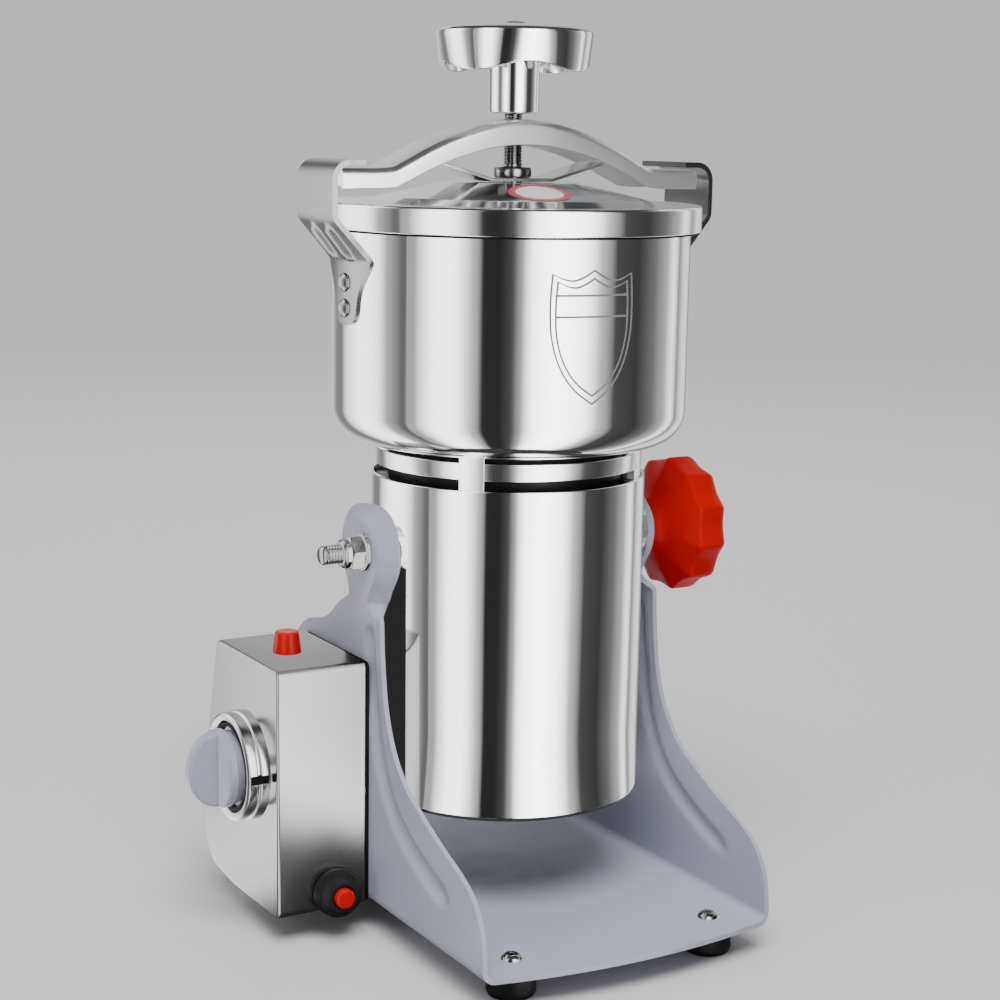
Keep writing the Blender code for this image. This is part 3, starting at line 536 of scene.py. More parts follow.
def make_timer():
    """The bezel with its index mark, a near-black ring of painted shade in the gap round the knob's disc,
    and the knob: a disc with a half-round fin across it.
    """
    rings = [(23.0, 0.0, 0), (23.0, 3.9, 0.5), (21.8, 4.3, 0.2), (21.8, 5.3, 0.2), (22.6, 5.7, 0.4),
             (22.6, 9.0, 0.6), (21.2, 9.8, 0.6), (19.4, 9.2, 0.5), (17.6, 6.6, 0.4), (17.2, 2.6, 0.3),
             (5.0, 2.6, 0), (5.0, 0.0, 0)]
    bezel = turned("timer_bezel_ring", rings, shaded_bezel_steel, STEPS)
    # Painted shade: a near-black ring in the gap between the knob's disc and the bezel.
    seam_shade = turned("timer_seam_shade", [(18.4, 8.9, 0), (18.4, 6.0, 0), (16.9, 6.0, 0), (16.9, 8.9, 0.3)],
                  shade_and_mark_black, STEPS)
    settle(place(seam_shade, TIMER, "-X"), "stand", "black_rubber")
    settle(place(unmirrored(bezel), TIMER, "-X"), "stand", "polished_steel", "timer_bezel")
    index = [(radius * math.sin(turn), -radius * math.cos(turn))
             for radius, start in ((23.1, -0.075), (21.0, 0.075))
             for turn in (start, 0.0, -start)]
    mark = prism("timer_index", index, "Z", 0.9, 8.6, shade_and_mark_black)
    settle(place(mark, TIMER, "-X"), "stand", "black_rubber")

    place_of_knob = (BOX_OUTER_X - 0.3, TIMER[1], TIMER[2])
    rim, top = TIMER_DISC, TIMER_DISC_TOP
    profile = [(0, top, 0), (rim, top, 1.0), (rim, 11.0, 0.4), (15.2, 10.4, 0.2), (15.2, 4.2, 0),
               (0, 4.2, 0)]
    disc = turned("timer_disc", profile, grey, STEPS, False)
    settle(place(unmirrored(disc), place_of_knob, "-X"), "timer_knob", "grey_plastic", "timer_knob")
    half = rim - 0.5
    dome = [(x, top + z * 0.79) for x, z in arc((0, 0), half, 180, 0, 48)]
    outline = [(-half, top - 1.5)] + dome + [(half, top - 1.5)]
    fin = prism("timer_fin", outline, "Y", -3.0, 3.0, grey, 30.0)
    bevel(place(fin, place_of_knob, "-X"), 1.4, 5, 50.0)
    settle(unmirrored(fin), "timer_knob", "grey_plastic")


def make_reset():
    boot = [(4.7, 9.2, 0.3), (6.8, 9.2, 1.6), (9.4, 7.0, 2.0), (10.0, 3.0, 1.0), (9.8, 0.1, 0.3),
            (4.7, 0.1, 0)]
    collar = turned("reset_boot", boot, rubber, 96)
    place(collar, (RESET[0], BOX_FRONT - 0.1, RESET[2]), "-Y")
    settle(collar, "stand", "black_rubber", "reset_collar")
    cap = [(0, 11.6, 0), (4.2, 11.6, 1.0), (4.2, -5.5, 0.3), (0, -5.5, 0)]
    button = turned("reset_cap", cap, lens, 64, False)
    place(button, (RESET[0], BOX_FRONT - 0.3, RESET[2]), "-Y")
    settle(button, "reset_button", "red_plastic", "reset_button")


def make_lamp():
    profile = [(0, 8.9, 0), (3.6, 9.2, 1.0), (4.9, 9.0, 0.8), (5.9, 1.0, 0.5), (6.0, 0.1, 0), (0, 0.1, 0)]
    lamp = turned("pilot_lamp_lens", profile, lens, 96, False)
    settle(place(unmirrored(lamp), LAMP), "stand", "red_lens", "pilot_lamp")


def make_gland():
    profile = [(8.0, -0.6, 0.4), (8.0, -4.0, 0.8), (6.2, -5.0, 0.4), (6.0, -8.9, 0.6), (3.6, -8.9, 0.2),
               (3.6, -0.6, 0)]
    gland = turned("lead_gland", profile, rubber, 72)
    settle(place(gland, GLAND, "-Y"), "stand", "black_rubber", "cable_gland")


# Motor

def make_motor():
    """The polished can, the black deck in its top and the drum that shows between the collar's posts."""
    r, low, top = MOTOR_RADIUS, MOTOR_LOW, MOTOR_TOP
    can = [(r, top, 0.5), (r, low, 2.6), (r - 7, low, 0.4), (r - 7, low + 1.4, 0.3),
           (r - 1.5, low + 1.6, 1.6), (r - 1.5, top, 0.3)]
    settle(place(turned("motor_can", can, polished, 192)), "mill_head", "polished_steel", "motor_housing")
    deck = [(r - 1.7, top - 2.2, 0.2), (r - 1.7, top - 3.7, 0.2), (14.0, top - 3.7, 0.4),
            (14.0, top - 0.5, 1.0), (11.3, top - 0.5, 0.4), (11.3, top + 1.0, 0.2),
            (16.0, top + 1.0, 0.6), (18.0, top - 2.2, 0.8)]
    settle(place(turned("motor_deck", deck, black, 96)), "mill_head", "black_plastic")
    high = BOWL_LOW - 0.4
    drum = [(50.5, high, 0), (50.5, top - 2.4, 0), (49.0, top - 2.4, 0), (49.0, high, 0)]
    settle(place(turned("collar_drum", drum, black, 96)), "mill_head", "black_plastic")


def make_collar():
    """A band on four posts that holds the bowl over the motor's air gap."""
    r = COLLAR_RADIUS
    band = [(r, 202.2, 0.4), (r, 195.2, 0.4), (r - 2.4, 195.2, 0.3), (r - 2.4, 202.2, 0.3)]
    settle(place(turned("vent_band", band, band_steel, 192)), "mill_head", "brushed_steel", "vent_collar")
    half = math.degrees(5.3 / r)
    outline = arc((0, 0), r + 0.15, -half, half, 6) + arc((0, 0), r - 5.5, half, -half, 6)
    for number in range(4):
        low, high = MOTOR_TOP - 0.6, BOWL_LOW + 0.2
        post = prism(f"vent_post_{number + 1}", outline, "Z", low, high, band_steel, 30.0)
        place(post, (0, 0, 0), "+Z", math.radians(45 + 90 * number))
        bevel(post, 0.35, 2)
        settle(post, "mill_head", "brushed_steel")


# Bowl, hooks and rivets

def make_bowl():
    r, low, rim = BOWL_RADIUS, BOWL_LOW, BOWL_RIM
    inner, floor = r - BOWL_WALL, low + BOWL_WALL
    corners = [(r, rim, 0.7), (r, low, 14.0), (5.4, low, 0.0), (5.4, floor, 0.0), (inner, floor, 12.2),
               (inner, rim, 0.7)]
    bowl = turned("bowl_shell", corners, polished, 220, True, 14)
    settle(place(bowl), "mill_head", "polished_steel", "bowl")


SHIELD = [(0, 26), (4, 23.6), (8.5, 22), (13, 22.6), (17.5, 24.6), (18.1, 18), (18.3, 10), (17.8, 1),
          (15.6, -8), (12, -15.5), (7, -21.5), (0, -26.5)]
SHIELD_SIDE, SHIELD_HEIGHT = math.radians(-94.5), 254.4


def make_emblem():
    """A plain shield in fine etched lines on the bowl, with nothing written in it."""
    half = smooth_line(SHIELD[:5], 3)[:-1] + smooth_line(SHIELD[4:], 3)
    whole = half + [(-x, z) for x, z in reversed(half[1:-1])]
    shape = bmesh.new()

    def on_bowl(across, height):
        angle = SHIELD_SIDE + across / BOWL_RADIUS
        reach = (BOWL_RADIUS + 0.04) * MM
        up = (SHIELD_HEIGHT + height) * MM
        return shape.verts.new((reach * math.cos(angle), reach * math.sin(angle), up))

    for scale in (1.0, 0.88):
        edge = [on_bowl(x * scale, z * scale) for x, z in whole]
        inside = [on_bowl(x * (scale - 0.044), z * (scale - 0.034)) for x, z in whole]
        for i in range(len(whole)):
            j = (i + 1) % len(whole)
            shape.faces.new((edge[i], edge[j], inside[j], inside[i]))
    for height in (15.6, 7.4):
        low = [on_bowl(15.6 * (i / 12 - 1), height) for i in range(25)]
        high = [on_bowl(15.6 * (i / 12 - 1), height + 0.8) for i in range(25)]
        for i in range(24):
            shape.faces.new((low[i], low[i + 1], high[i + 1], high[i]))
    settle(place(make("shield_outline", shape, etched)), "mill_head", "polished_steel")


def hook_path():
    """(distance, height, half width, how far it follows the bowl) up the hook's inner face."""
    near, far, curl = HOOK_NEAR, HOOK_FAR, HOOK_CURL
    level = HOOK_TOP - curl
    tab = [(254.8, 2.0), (255.3, 4.4), (256.4, 6.3), (258.0, 7.7), (260.2, 8.6), (263.0, 9.0),
           (266.0, 9.6), (269.0, 10.7), (272.0, 12.4), (275.0, 14.6), (277.4, 16.4), (279.0, 17.3)]
    path = [(near, height, half, 1.0) for height, half in tab]
    path += [(near + 0.1, 280.4, 17.6, 1.0), (near + 0.6, 281.8, 17.5, 0.93),
             (near + 1.5, 283.0, 17.4, 0.85)]
    start, end = (near + 1.5, 283.0), (far - 1.6, 295.6)
    for i in range(1, 9):
        t = i / 8
        out, height = start[0] + (end[0] - start[0]) * t, start[1] + (end[1] - start[1]) * t
        path.append((out, height, 17.4 - 0.7 * t, 0.85 - 0.6 * t))
    path += [(far - 0.6, 297.0, 16.6, 0.12), (far - 0.1, 298.2, 16.5, 0.04), (far, 299.6, 16.4, 0.0)]
    path += [(far, 299.6 + (level - 299.6) * i / 5, 16.4, 0.0) for i in range(1, 6)]
    path += [(x, z, 16.4, 0.0) for x, z in arc((far - curl, level), curl, 10, 90, 8)]
    path += [(far - curl - (far - curl - HOOK_TIP) * i / 4, HOOK_TOP, 16.3, 0.0) for i in range(1, 5)]
    return path


def make_hook(name, side, node):
    """A bent strap with two pressed ribs, riveted to the bowl on the side given."""
    near = HOOK_NEAR
    columns = 32
    shape = bmesh.new()
    rows = []
    for out, height, half, follow in hook_path():
        row = []
        slope = ease(282.0, 284.0, height) * (1 - ease(293.5, 295.8, height)) if out < 86.5 else 0.0
        for step in range(columns + 1):
            across = half * (2 * step / columns - 1)
            sag = (near - math.sqrt(near * near - across * across)) * follow
            rib = 1.5 * slope * math.exp(-((abs(across) - 6.6) / 2.2) ** 2)
            row.append(shape.verts.new(((out - sag + rib) * MM, across * MM, (height - rib) * MM)))
        rows.append(row)
    for low, high in zip(rows, rows[1:]):
        for i in range(columns):
            shape.faces.new((low[i], low[i + 1], high[i + 1], high[i]))
    hook = make(name, shape, shaded_hook_steel, 60.0)
    place(hook, (0, 0, 0), "+Z", 0.0 if side > 0 else math.pi)
    outward = max(hook.data.polygons, key=lambda face: face.center.x).normal.x
    solid = hook.modifiers.new("sheet", "SOLIDIFY")
    solid.thickness = HOOK_SHEET * MM
    solid.offset = 1.0 if outward > 0 else -1.0
    solid.use_even_offset = True
    bevel(hook, 0.5, 3, 50.0)
    settle(unmirrored(hook), "mill_head", "brushed_steel", node)


def make_rivets():
    face = HOOK_NEAR + HOOK_SHEET
    inner = BOWL_RADIUS - BOWL_WALL - 0.3
    corners = [(0, face + 1.5, 0), (1.0, face + 1.5, 0), (2.1, face + 1.7, 0.3), (3.6, face + 0.9, 0.5),
               (3.9, face - 0.2, 0), (1.9, face - 0.2, 0), (1.9, inner, 0), (3.0, inner, 0),
               (2.4, inner - 0.9, 0.4), (0, inner - 1.1, 0)]
    for name, towards in (("left", "-X"), ("right", "+X")):
        for number, height in enumerate(RIVET_HEIGHTS, 1):
            rivet = turned(f"rivet_head_{name}_{number}", corners, zinc, 48, False)
            place(rivet, (0, 0, height), towards)
            settle(rivet, "mill_head", "zinc_plate", f"rivet_{name}_{number}")


# Pivots

def threaded(name, radius, pitch, low, high, material, rest, steps=40):
    """A rod with a V thread from low to high. rest lists the profile below and above it."""
    above, below = rest
    count = max(4, int((high - low) / pitch * 8))

    def section(angle):
        points = list(above)
        for i in range(count + 1):
            z = high - (high - low) * i / count
            phase = (z / pitch - angle / (2 * math.pi)) % 1.0
            tooth = abs(2 * phase - 1)
            fade = min(1.0, (high - z) / pitch, (z - low) / pitch)
            points.append((radius - 0.55 * pitch * (1 - tooth) * max(fade, 0.0) * 0.9, z))
        return points + list(below)

    return spun(name, section, material, steps, False, 60.0)


def hex_body(name, flats, low, high, bore, material):
    """A hexagon nut with its corners chamfered at both ends."""
    def section(angle):
        folded = (angle + math.pi / 6) % (math.pi / 3) - math.pi / 6
        side = flats / math.cos(folded)
        inner = flats * 1.01
        drop = (side - inner) * 0.58 if side > inner else 0.0
        return [(bore, high), (inner * 0.96, high), (side, high - 0.15 - drop), (side, low + 0.15 + drop),
                (inner * 0.96, low), (bore, low)]

    return spun(name, section, material, 96, True, 28.0)


def make_pivots():
    """The left end of the tilt's axis: a threaded stud, a washer and a domed lock nut."""
    wall, axis = STAND_HALF, (0, 0, PIVOT_Z)
    tip = [(0, 87.0), (3.2, 87.0), (3.9, 86.2)]
    root = [(3.9, 70.3), (3.9, 54.0), (7.5, 54.0), (7.5, 50.0), (0, 50.0)]
    left = threaded("left_stud", THREAD, PITCH, 70.5, 86.0, zinc, (tip, root))
    settle(place(unmirrored(left), axis, "-X"), "mill_head", "zinc_plate", "pivot_stud_left")
    flat = [(8.0, wall + 1.5, 0.3), (8.0, wall + 0.1, 0.3), (4.2, wall + 0.1, 0), (4.2, wall + 1.5, 0)]
    washer = turned("stud_washer", flat, zinc, 72)
    settle(place(washer, axis, "-X"), "mill_head", "zinc_plate", "pivot_washer")
    nut = hex_body("lock_nut_hex", 6.5, wall + 1.6, wall + 7.6, 4.0, zinc)
    settle(place(unmirrored(nut), axis, "-X", 0.2), "mill_head", "zinc_plate", "pivot_nut")
    cap = [(6.1, wall + 7.5, 0), (6.0, wall + 9.4, 0.7), (4.9, wall + 10.4, 0.5), (4.0, wall + 10.4, 0),
           (4.0, wall + 7.5, 0)]
    dome = turned("lock_nut_dome", cap, zinc, 64)
    settle(place(unmirrored(dome), axis, "-X"), "mill_head", "zinc_plate")


def make_star_knob():
    """A moulded knob with scallops round its rim and a cone behind it."""
    def section(angle):
        scoop = math.sqrt(math.sin(STAR_SCALLOPS * angle / 2) ** 2 + 0.02)
        rim = STAR_RADIUS - SCALLOP_DEEP * scoop
        return [(0, 97.9), (9, 97.8), (17, 97.3), (22.0, 96.7), (rim - 3.2, 95.7), (rim - 1.4, 94.6),
                (rim - 0.4, 93.1), (rim, 91.4), (rim, 82.6), (rim - 0.2, 81.8), (rim - 1.0, 81.0),
                (20.0, 76.6), (15.0, 74.0), (12.8, 72.0), (12.0, 70.0), (11.6, 68.4), (4.0, 68.4),
                (4.0, 76.0), (0, 76.0)]

    knob = spun("star_knob", section, red, 24 * STAR_SCALLOPS, False, 60.0)
    place(knob, (0, 0, PIVOT_Z), "+X", STAR_TURN)
    settle(unmirrored(knob), "clamp_knob", "red_plastic", "clamp_knob")


# Lid, beam and spindle

LABEL_SIDE = math.radians(-105.0)


def lid_patch(name, inner, outer, material):
    """A round plain label lying on the lid's cone, with local +X as the direction of its centre."""
    shape = bmesh.new()
    rings = []
    for radius in (inner, (inner + outer) / 2, outer):
        ring = []
        for step in range(48):
            angle = 2 * math.pi * step / 48
            x, y = 41.0 + radius * math.cos(angle), radius * math.sin(angle)
            reach = math.hypot(x, y)
            height = LID_CROWN + (LID_TOP + 2.1 - LID_CROWN) * (reach - 27.0) / 27.5 + 0.12
            ring.append(shape.verts.new((x * MM, y * MM, height * MM)))
        rings.append(ring)
    for here, after in zip(rings, rings[1:]):
        for i in range(48):
            j = (i + 1) % 48
            shape.faces.new((here[i], here[j], after[j], after[i]))
    return make(name, shape, material)


def make_lid():
    """The spun lid with its rolled band, and a near-black ring under the band: painted shade where the
    band meets the bowl.
    """
    r, t, top, crown = LID_RADIUS, LID_SHEET, LID_TOP, LID_CROWN
    corners = [(r, top, 1.3), (r, LID_BAND_LOW, 0.4), (r - t, LID_BAND_LOW, 0.3), (r - t, top - t, 0.4),
               (59.0, top - t, 3.0), (53.0, top + 0.6, 3.0), (27.0, crown - t, 4.0), (4.3, crown - t, 0),
               (4.3, crown, 0), (27.0, crown, 5.0), (54.5, top + 2.1, 4.0), (60.5, top - 0.4, 2.0),
               (72.0, top - 0.4, 1.0), (74.5, top, 0.8)]
    lid = turned("lid_shell", corners, lid_steel, 220, True, 8)
    settle(place(lid), "lid_set", "polished_steel", "lid")
    low, high, inner = LID_BAND_LOW - 0.9, LID_BAND_LOW + 0.6, BOWL_RADIUS + 0.25
    # Painted shade: a near-black ring under the band, between it and the bowl.
    lip_shade = turned("lid_lip_shade", [(r - 1.7, high, 0), (r - 1.7, low, 0.3), (inner, low, 0.3), (inner, high, 0)],
                 shade_and_mark_black, 120, True, 3)
    settle(place(lip_shade), "lid_set", "silicone")


def make_label():
    """A plain ring with a pale field, with nothing written in it."""
    for name, inner, outer, material in (("lid_label_rim", 9.6, 12.6, label_red),
                                         ("lid_label_field", 0.0, 9.6, label_pale)):
        patch = lid_patch(name, inner, outer, material)
        settle(place(patch, (0, 0, 0), "+Z", LABEL_SIDE), "lid_set", "red_plastic")


def make_pressure_strip():
    """The spring strip under the screw, bent up at both ends."""
    flat, wing, rise = 14.0, 38.5, 6.8
    line = [(-wing, STRIP_LOW + rise, 0), (-flat, STRIP_LOW, 6.0), (flat, STRIP_LOW, 6.0),
            (wing, STRIP_LOW + rise, 0)]
    under = filleted(line, False, 6)
    over = [(x, z + STRIP_SHEET) for x, z in reversed(under)]
    strip = prism("pressure_strip", under + over, "Y", -9.0, 9.0, brushed, 40.0)
    bevel(place(strip), 0.25, 2, 60.0)
    settle(strip, "lid_set", "brushed_steel", "pressure_plate")


def beam_top(x):
    """The beam's height along its length: a low arch between two flat ends."""
    along = min(abs(x) / BEAM_KINK, 1.0)
    kink = 1.3 * math.exp(-((abs(x) - BEAM_KINK) / 4.0) ** 2)
    return 316.8 + 19.7 * (1 - along ** 1.8) + 0.35 * kink


def beam_depth(x):
    return 10.2 - 2.2 * min(abs(x) / BEAM_KINK, 1.0)


def make_beam():
    """A channel with rounded upper corners, open below."""
    half, wall, bend = BEAM_HALF, BEAM_WALL, 3.2
    shape = bmesh.new()
    loops = []
    for i in range(111):
        x = -BEAM_END + 2 * BEAM_END * i / 110
        top, low = beam_top(x), beam_top(x) - beam_depth(x)
        outer = [(-half, low)] + arc((-half + bend, top - bend), bend, 180, 90, 6)
        outer += arc((half - bend, top - bend), bend, 90, 0, 6) + [(half, low)]
        inner = [(half - wall, low)] + arc((half - bend, top - bend), bend - wall, 0, 90, 4)
        inner += arc((-half + bend, top - bend), bend - wall, 90, 180, 4) + [(-half + wall, low)]
        loops.append([shape.verts.new((x * MM, y * MM, z * MM)) for y, z in outer + inner])
    for first, second in zip(loops, loops[1:]):
        for i in range(len(first)):
            j = (i + 1) % len(first)
            shape.faces.new((first[i], first[j], second[j], second[i]))
    shape.faces.new(loops[0])
    shape.faces.new(loops[-1])
    beam = place(make("beam_channel", shape, satin, 40.0))
    bevel(beam, 0.35, 2, 50.0)
    settle(beam, "yoke", "satin_aluminium", "clamp_beam")


def make_screw():
    low = STRIP_LOW + STRIP_SHEET + 0.2
    above = [(0, 350.0), (3.9, 350.0), (3.9, 340.2)]
    below = [(3.3, low + 4.2), (7.3, low + 4.1), (7.8, low + 3.6), (7.8, low + 0.4), (7.4, low),
             (3.9, low), (3.9, 309.4), (6.5, 309.4), (6.5, 306.0), (0, 306.0)]
    screw = threaded("lid_screw", THREAD, PITCH, low + 4.4, 340.0, zinc, (above, below), 48)
    settle(place(screw), "spindle", "zinc_plate", "spindle_screw")


def make_hand_wheel():
    """A cap with four waves in its lower edge, on a hollow stem."""
    def section(angle):
        edge = 357.2 + 1.8 * math.cos(4 * angle)
        return [(0, 375.5), (4.0, 375.4), (5.0, 375.0), (5.8, 374.6), (14, 374.3), (24, 373.4),
                (29.4, 372.5), (31.0, 372.0), (31.8, 371.3), (32.0, 370.4), (31.9, 369.4),
                (30.8, edge + 0.9), (30.5, edge + 0.3), (30.0, edge), (28.8, edge), (28.3, edge + 0.4),
                (28.2, 368.4), (26.0, 369.6), (14, 370.2), (11.6, 369.4), (10.7, 366.0), (10.4, 353.0),
                (10.4, 340.0), (10.2, 339.3), (9.6, 338.8), (4.2, 338.8), (4.2, 349.0), (0, 349.0)]

    wheel = spun("hand_wheel_cap", section, polished, 192, False, 32.0)
    place(wheel, (0, 0, 0), "+Z", WHEEL_TURN)
    settle(wheel, "spindle", "polished_steel", "hand_wheel")


# Carried-over CAD pieces

NODE_FINISH = {"foot_screw": zinc, "pivot_spacer": satin, "pivot_stud": zinc, "bracket": satin,
               "bearing": dark_steel, "stator": dark_steel, "rotor_core": dark_steel,
               "field_coil": copper, "commutator": copper, "brush": black, "bottom_cover": black,
               "cooling_fan": black, "motor_shaft": dark_steel, "lower_blade": dark_steel,
               "upper_blade": dark_steel, "blade_spacer": dark_steel, "blade_nut": zinc,
               "beam_nut": zinc, "timer_body": black, "breaker_body": black, "timer_shaft": zinc,
               "lid_gasket": silicone}


def finish_nodes():
    for name, node in frame["nodes"].items():
        for start, material in NODE_FINISH.items():
            if name.startswith(start):
                node.data.materials.clear()
                node.data.materials.append(material)


# Stage, light and camera

RING_RADIUS, RING_HEIGHT, FLAG_RADIUS = 0.28, 0.52, 0.11
CARD_TALL, CARD_DEEP = 94.0, 36.0
CARD_OUT, CARD_BACK, CARD_HEIGHT = 63.6, 7.0, 108.0


def emission(name, strength):
    material = bpy.data.materials.new(name)
    material.use_nodes = True
    nodes = material.node_tree.nodes
    nodes.remove(nodes["Principled BSDF"])
    glow = nodes.new("ShaderNodeEmission")
    glow.inputs["Strength"].default_value = strength
    material.node_tree.links.new(glow.outputs["Emission"], nodes["Material Output"].inputs["Surface"])
    return material, glow


def only_mirrored(screen, material):
    """A stage piece that only mirror reflections see."""
    screen.data.materials.append(material)
    screen.visible_camera = False
    screen.visible_diffuse = False
    screen.visible_shadow = False
    screen.visible_transmission = False


def make_floor():
    bpy.ops.mesh.primitive_plane_add(size=12.0)
    floor = bpy.context.object
    floor.name = "floor"
    material = surface("pale floor", (0.70, 0.69, 0.68), 0.55, Specular_IOR_Level=0.0)[0]
    floor.data.materials.append(material)


def make_flags():
    """Dark pieces for the steel to mirror: a disc on the floor, and on each side of the motor a card of
    painted shade that stands in for the stand's shaded inner wall.
    """
    bpy.ops.mesh.primitive_circle_add(vertices=96, radius=FLAG_RADIUS, fill_type="NGON")
    flag = bpy.context.object
    flag.name = "floor flag"
    flag.location = (AXIS_X * MM, AXIS_Y * MM, 0.0003)
    material, glow = emission("dark flag", 0.06)
    glow.inputs["Color"].default_value = (0.9, 0.95, 1.0, 1.0)
    only_mirrored(flag, material)
    for side in (-1, 1):
        bpy.ops.mesh.primitive_plane_add(size=MM)
        card = bpy.context.object
        card.name = "side shade card"
        card.scale = (CARD_TALL, CARD_DEEP, 1.0)
        card.rotation_euler = (0.0, math.radians(90), 0.0)
        card.location = ((AXIS_X + side * CARD_OUT) * MM, (AXIS_Y + CARD_BACK) * MM, CARD_HEIGHT * MM)
        # Painted shade: a dark card seen only in reflections, in place of the stand's shaded inner wall.
        material = emission("side shade card", 0.03)[0]
        only_mirrored(card, material)


# Light round the mill, as (degrees to the right of the camera as it looks, brightness): a mirror
# cylinder shows softboxes as bright stripes and the flags between them as dark ones.
CAMERA_SIDE = math.degrees(math.atan2(-741.1, -433.8))
BANDS = [(-172, 1.0), (-160, 0.8), (-148, 0.28), (-136, 0.26), (-128, 1.6), (-112, 3.6), (-96, 3.2),
         (-84, 0.62), (-72, 0.16), (-62, 0.55), (-48, 4.0), (-36, 4.2), (-24, 0.85), (-20, 0.5),
         (-17, 0.028), (-6, 0.03), (2, 0.09), (8, 0.6), (16, 5.0), (30, 7.0), (46, 5.0), (58, 0.9),
         (70, 0.085), (88, 0.055), (104, 0.2), (118, 0.6), (128, 2.2), (136, 0.3), (148, 1.4),
         (158, 1.3), (166, 0.27)]
BRIGHTEST = max(light for degrees, light in BANDS)


def ring_angle(degrees):
    """Where a far light at an angle shows on the ring, for a ray mirrored by the bowl."""
    reach = BOWL_RADIUS * MM / RING_RADIUS
    return CAMERA_SIDE + degrees - math.degrees(math.asin(reach * math.sin(math.radians(degrees / 2))))


def make_ring():
    """Stripes of light and dark round the mill."""
    bpy.ops.mesh.primitive_cylinder_add(vertices=128, radius=RING_RADIUS, depth=RING_HEIGHT,
                                        end_fill_type="NOTHING")
    screen = bpy.context.object
    screen.name = "light ring"
    screen.location = (AXIS_X * MM, AXIS_Y * MM, RING_HEIGHT / 2)
    material, glow = emission("light ring", BRIGHTEST)
    nodes, links = material.node_tree.nodes, material.node_tree.links
    spot = nodes.new("ShaderNodeTexCoord")
    split = nodes.new("ShaderNodeSeparateXYZ")
    links.new(spot.outputs["Object"], split.inputs["Vector"])
    turn = nodes.new("ShaderNodeMath")
    turn.operation = "ARCTAN2"
    links.new(split.outputs["Y"], turn.inputs[0])
    links.new(split.outputs["X"], turn.inputs[1])
    unit = nodes.new("ShaderNodeMapRange")
    unit.inputs["From Min"].default_value = -math.pi
    unit.inputs["From Max"].default_value = math.pi
    links.new(turn.outputs["Value"], unit.inputs["Value"])
    ramp = nodes.new("ShaderNodeValToRGB")
    stops = sorted((((ring_angle(degrees) + 180) % 360) / 360, light / BRIGHTEST)
                   for degrees, light in BANDS)
    bands = ramp.color_ramp.elements
    for position, light in stops[1:-1]:
        bands.new(position).color = (light, light, light, 1)
    for end, (position, light) in ((0, stops[0]), (-1, stops[-1])):
        bands[end].position = position
        bands[end].color = (light, light, light, 1)
    links.new(unit.outputs["Result"], ramp.inputs["Fac"])
    links.new(ramp.outputs["Color"], glow.inputs["Color"])
    only_mirrored(screen, material)
    bpy.ops.mesh.primitive_cone_add(vertices=128, radius1=RING_RADIUS, radius2=FLAG_RADIUS, depth=0.001,
                                    end_fill_type="NOTHING")
    apron = bpy.context.object
    apron.name = "light apron"
    apron.location = (AXIS_X * MM, AXIS_Y * MM, 0.001)
    only_mirrored(apron, material)


def make_world():
    """Plain pale surroundings, dark overhead for mirror reflections."""
    world = bpy.data.worlds.new("studio")
    bpy.context.scene.world = world
    world.use_nodes = True
    nodes, links = world.node_tree.nodes, world.node_tree.links
    soft = nodes["Background"]
    soft.inputs["Color"].default_value = (0.86, 0.90, 1.0, 1)
    soft.inputs["Strength"].default_value = 0.24
    rays = nodes.new("ShaderNodeLightPath")
    mixed = soft
    for ray, colour in (("Is Glossy Ray", (0.07, 0.075, 0.085, 1)),
                        ("Is Camera Ray", (0.66, 0.655, 0.65, 1))):
        seen = nodes.new("ShaderNodeBackground")
        seen.inputs["Color"].default_value = colour
        both = nodes.new("ShaderNodeMixShader")
        links.new(rays.outputs[ray], both.inputs["Fac"])
        links.new(mixed.outputs[0], both.inputs[1])
        links.new(seen.outputs["Background"], both.inputs[2])
        mixed = both
    links.new(mixed.outputs[0], nodes["World Output"].inputs["Surface"])


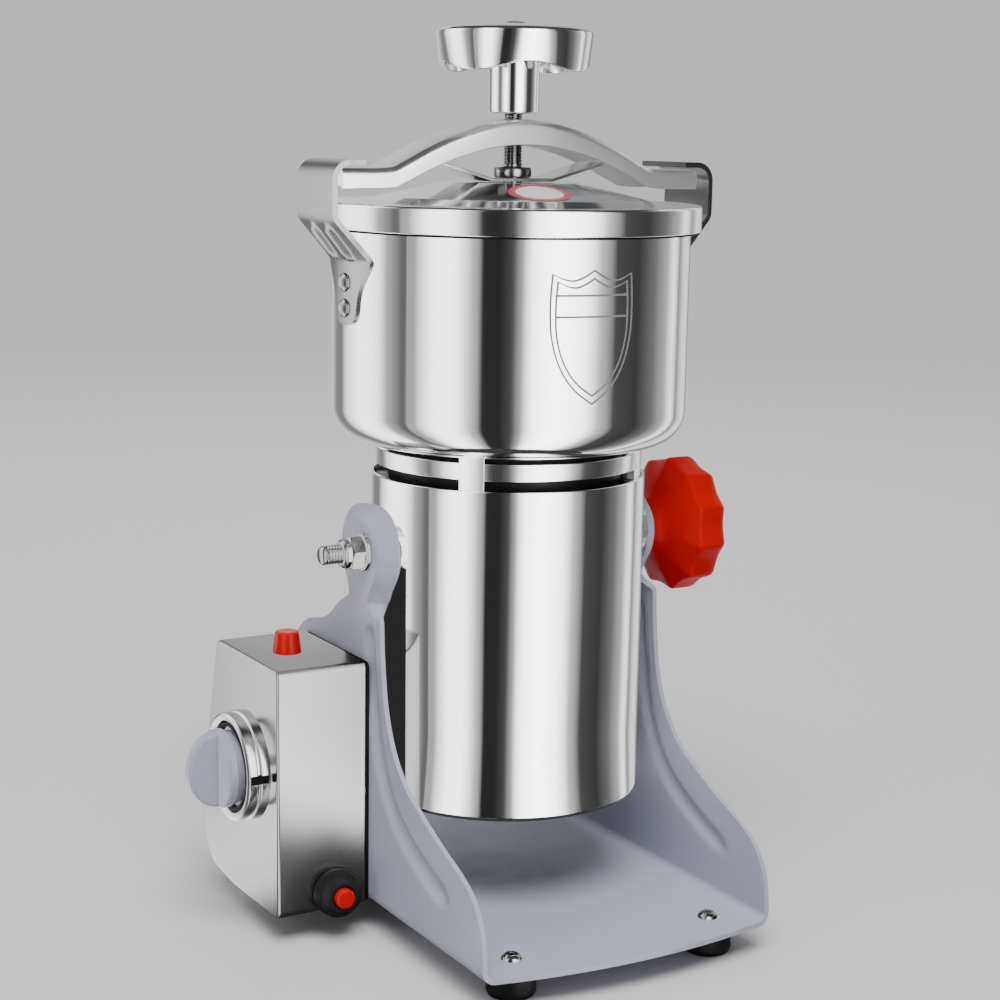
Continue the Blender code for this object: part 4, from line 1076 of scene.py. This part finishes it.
def add_light(name, centre, target, size, power):
    lamp = bpy.data.lights.new(name, "AREA")
    lamp.shape = "RECTANGLE"
    lamp.size, lamp.size_y = size
    lamp.energy = power
    holder = bpy.data.objects.new(name, lamp)
    bpy.context.scene.collection.objects.link(holder)
    holder.location = centre
    holder.rotation_mode = "QUATERNION"
    holder.rotation_quaternion = (Vector(target) - Vector(centre)).to_track_quat("-Z", "Y")
    holder.visible_glossy = False
    holder.visible_camera = False


def make_lights():
    middle = (AXIS_X * MM, AXIS_Y * MM, 0.17)
    add_light("key", (-0.25, -0.85, 1.5), middle, (0.7, 0.7), 8)
    add_light("fill", (-1.4, -0.3, 0.8), middle, (1.0, 1.2), 4)
    add_light("rim", (0.5, 1.2, 1.3), middle, (1.2, 0.6), 5)
    sun = bpy.data.lights.new("soft sun", "SUN")
    sun.energy = 2.6
    sun.angle = math.radians(40)
    holder = bpy.data.objects.new("soft sun", sun)
    bpy.context.scene.collection.objects.link(holder)
    holder.rotation_mode = "QUATERNION"
    holder.rotation_quaternion = Vector((0.25, 0.45, -1.0)).to_track_quat("-Z", "Y")
    holder.visible_glossy = False


def make_camera():
    yaw, pitch, roll = math.radians(30.42), math.radians(11.08), math.radians(1.008)
    forward = Vector((math.sin(yaw) * math.cos(pitch), math.cos(yaw) * math.cos(pitch), -math.sin(pitch)))
    right = Vector((math.cos(yaw), -math.sin(yaw), 0.0))
    up = right.cross(forward)
    r = right * math.cos(roll) + up * math.sin(roll)
    u = up * math.cos(roll) - right * math.sin(roll)
    camera = bpy.data.cameras.new("camera")
    camera.sensor_width = 36.0
    camera.lens = 74.0
    camera.shift_x = -0.009
    camera.shift_y = 0.031
    holder = bpy.data.objects.new("camera", camera)
    bpy.context.scene.collection.objects.link(holder)
    turn = Matrix((r, u, -forward)).transposed().to_4x4()
    spot = Vector((AXIS_X - 433.8, AXIS_Y - 741.1, 332.8)) * MM
    holder.matrix_world = Matrix.Translation(spot) @ turn
    bpy.context.scene.camera = holder


make_camera()
make_base_frame()
make_feet()
make_control_box()
make_timer()
make_reset()
make_lamp()
make_gland()
make_motor()
make_collar()
make_bowl()
make_emblem()
make_hook("hook_strap_left", -1, "hook_left")
make_hook("hook_strap_right", 1, "hook_right")
make_rivets()
make_pivots()
make_star_knob()
make_lid()
make_label()
make_pressure_strip()
make_beam()
make_screw()
make_hand_wheel()
finish_nodes()
make_floor()
make_flags()
make_ring()
make_world()
make_lights()
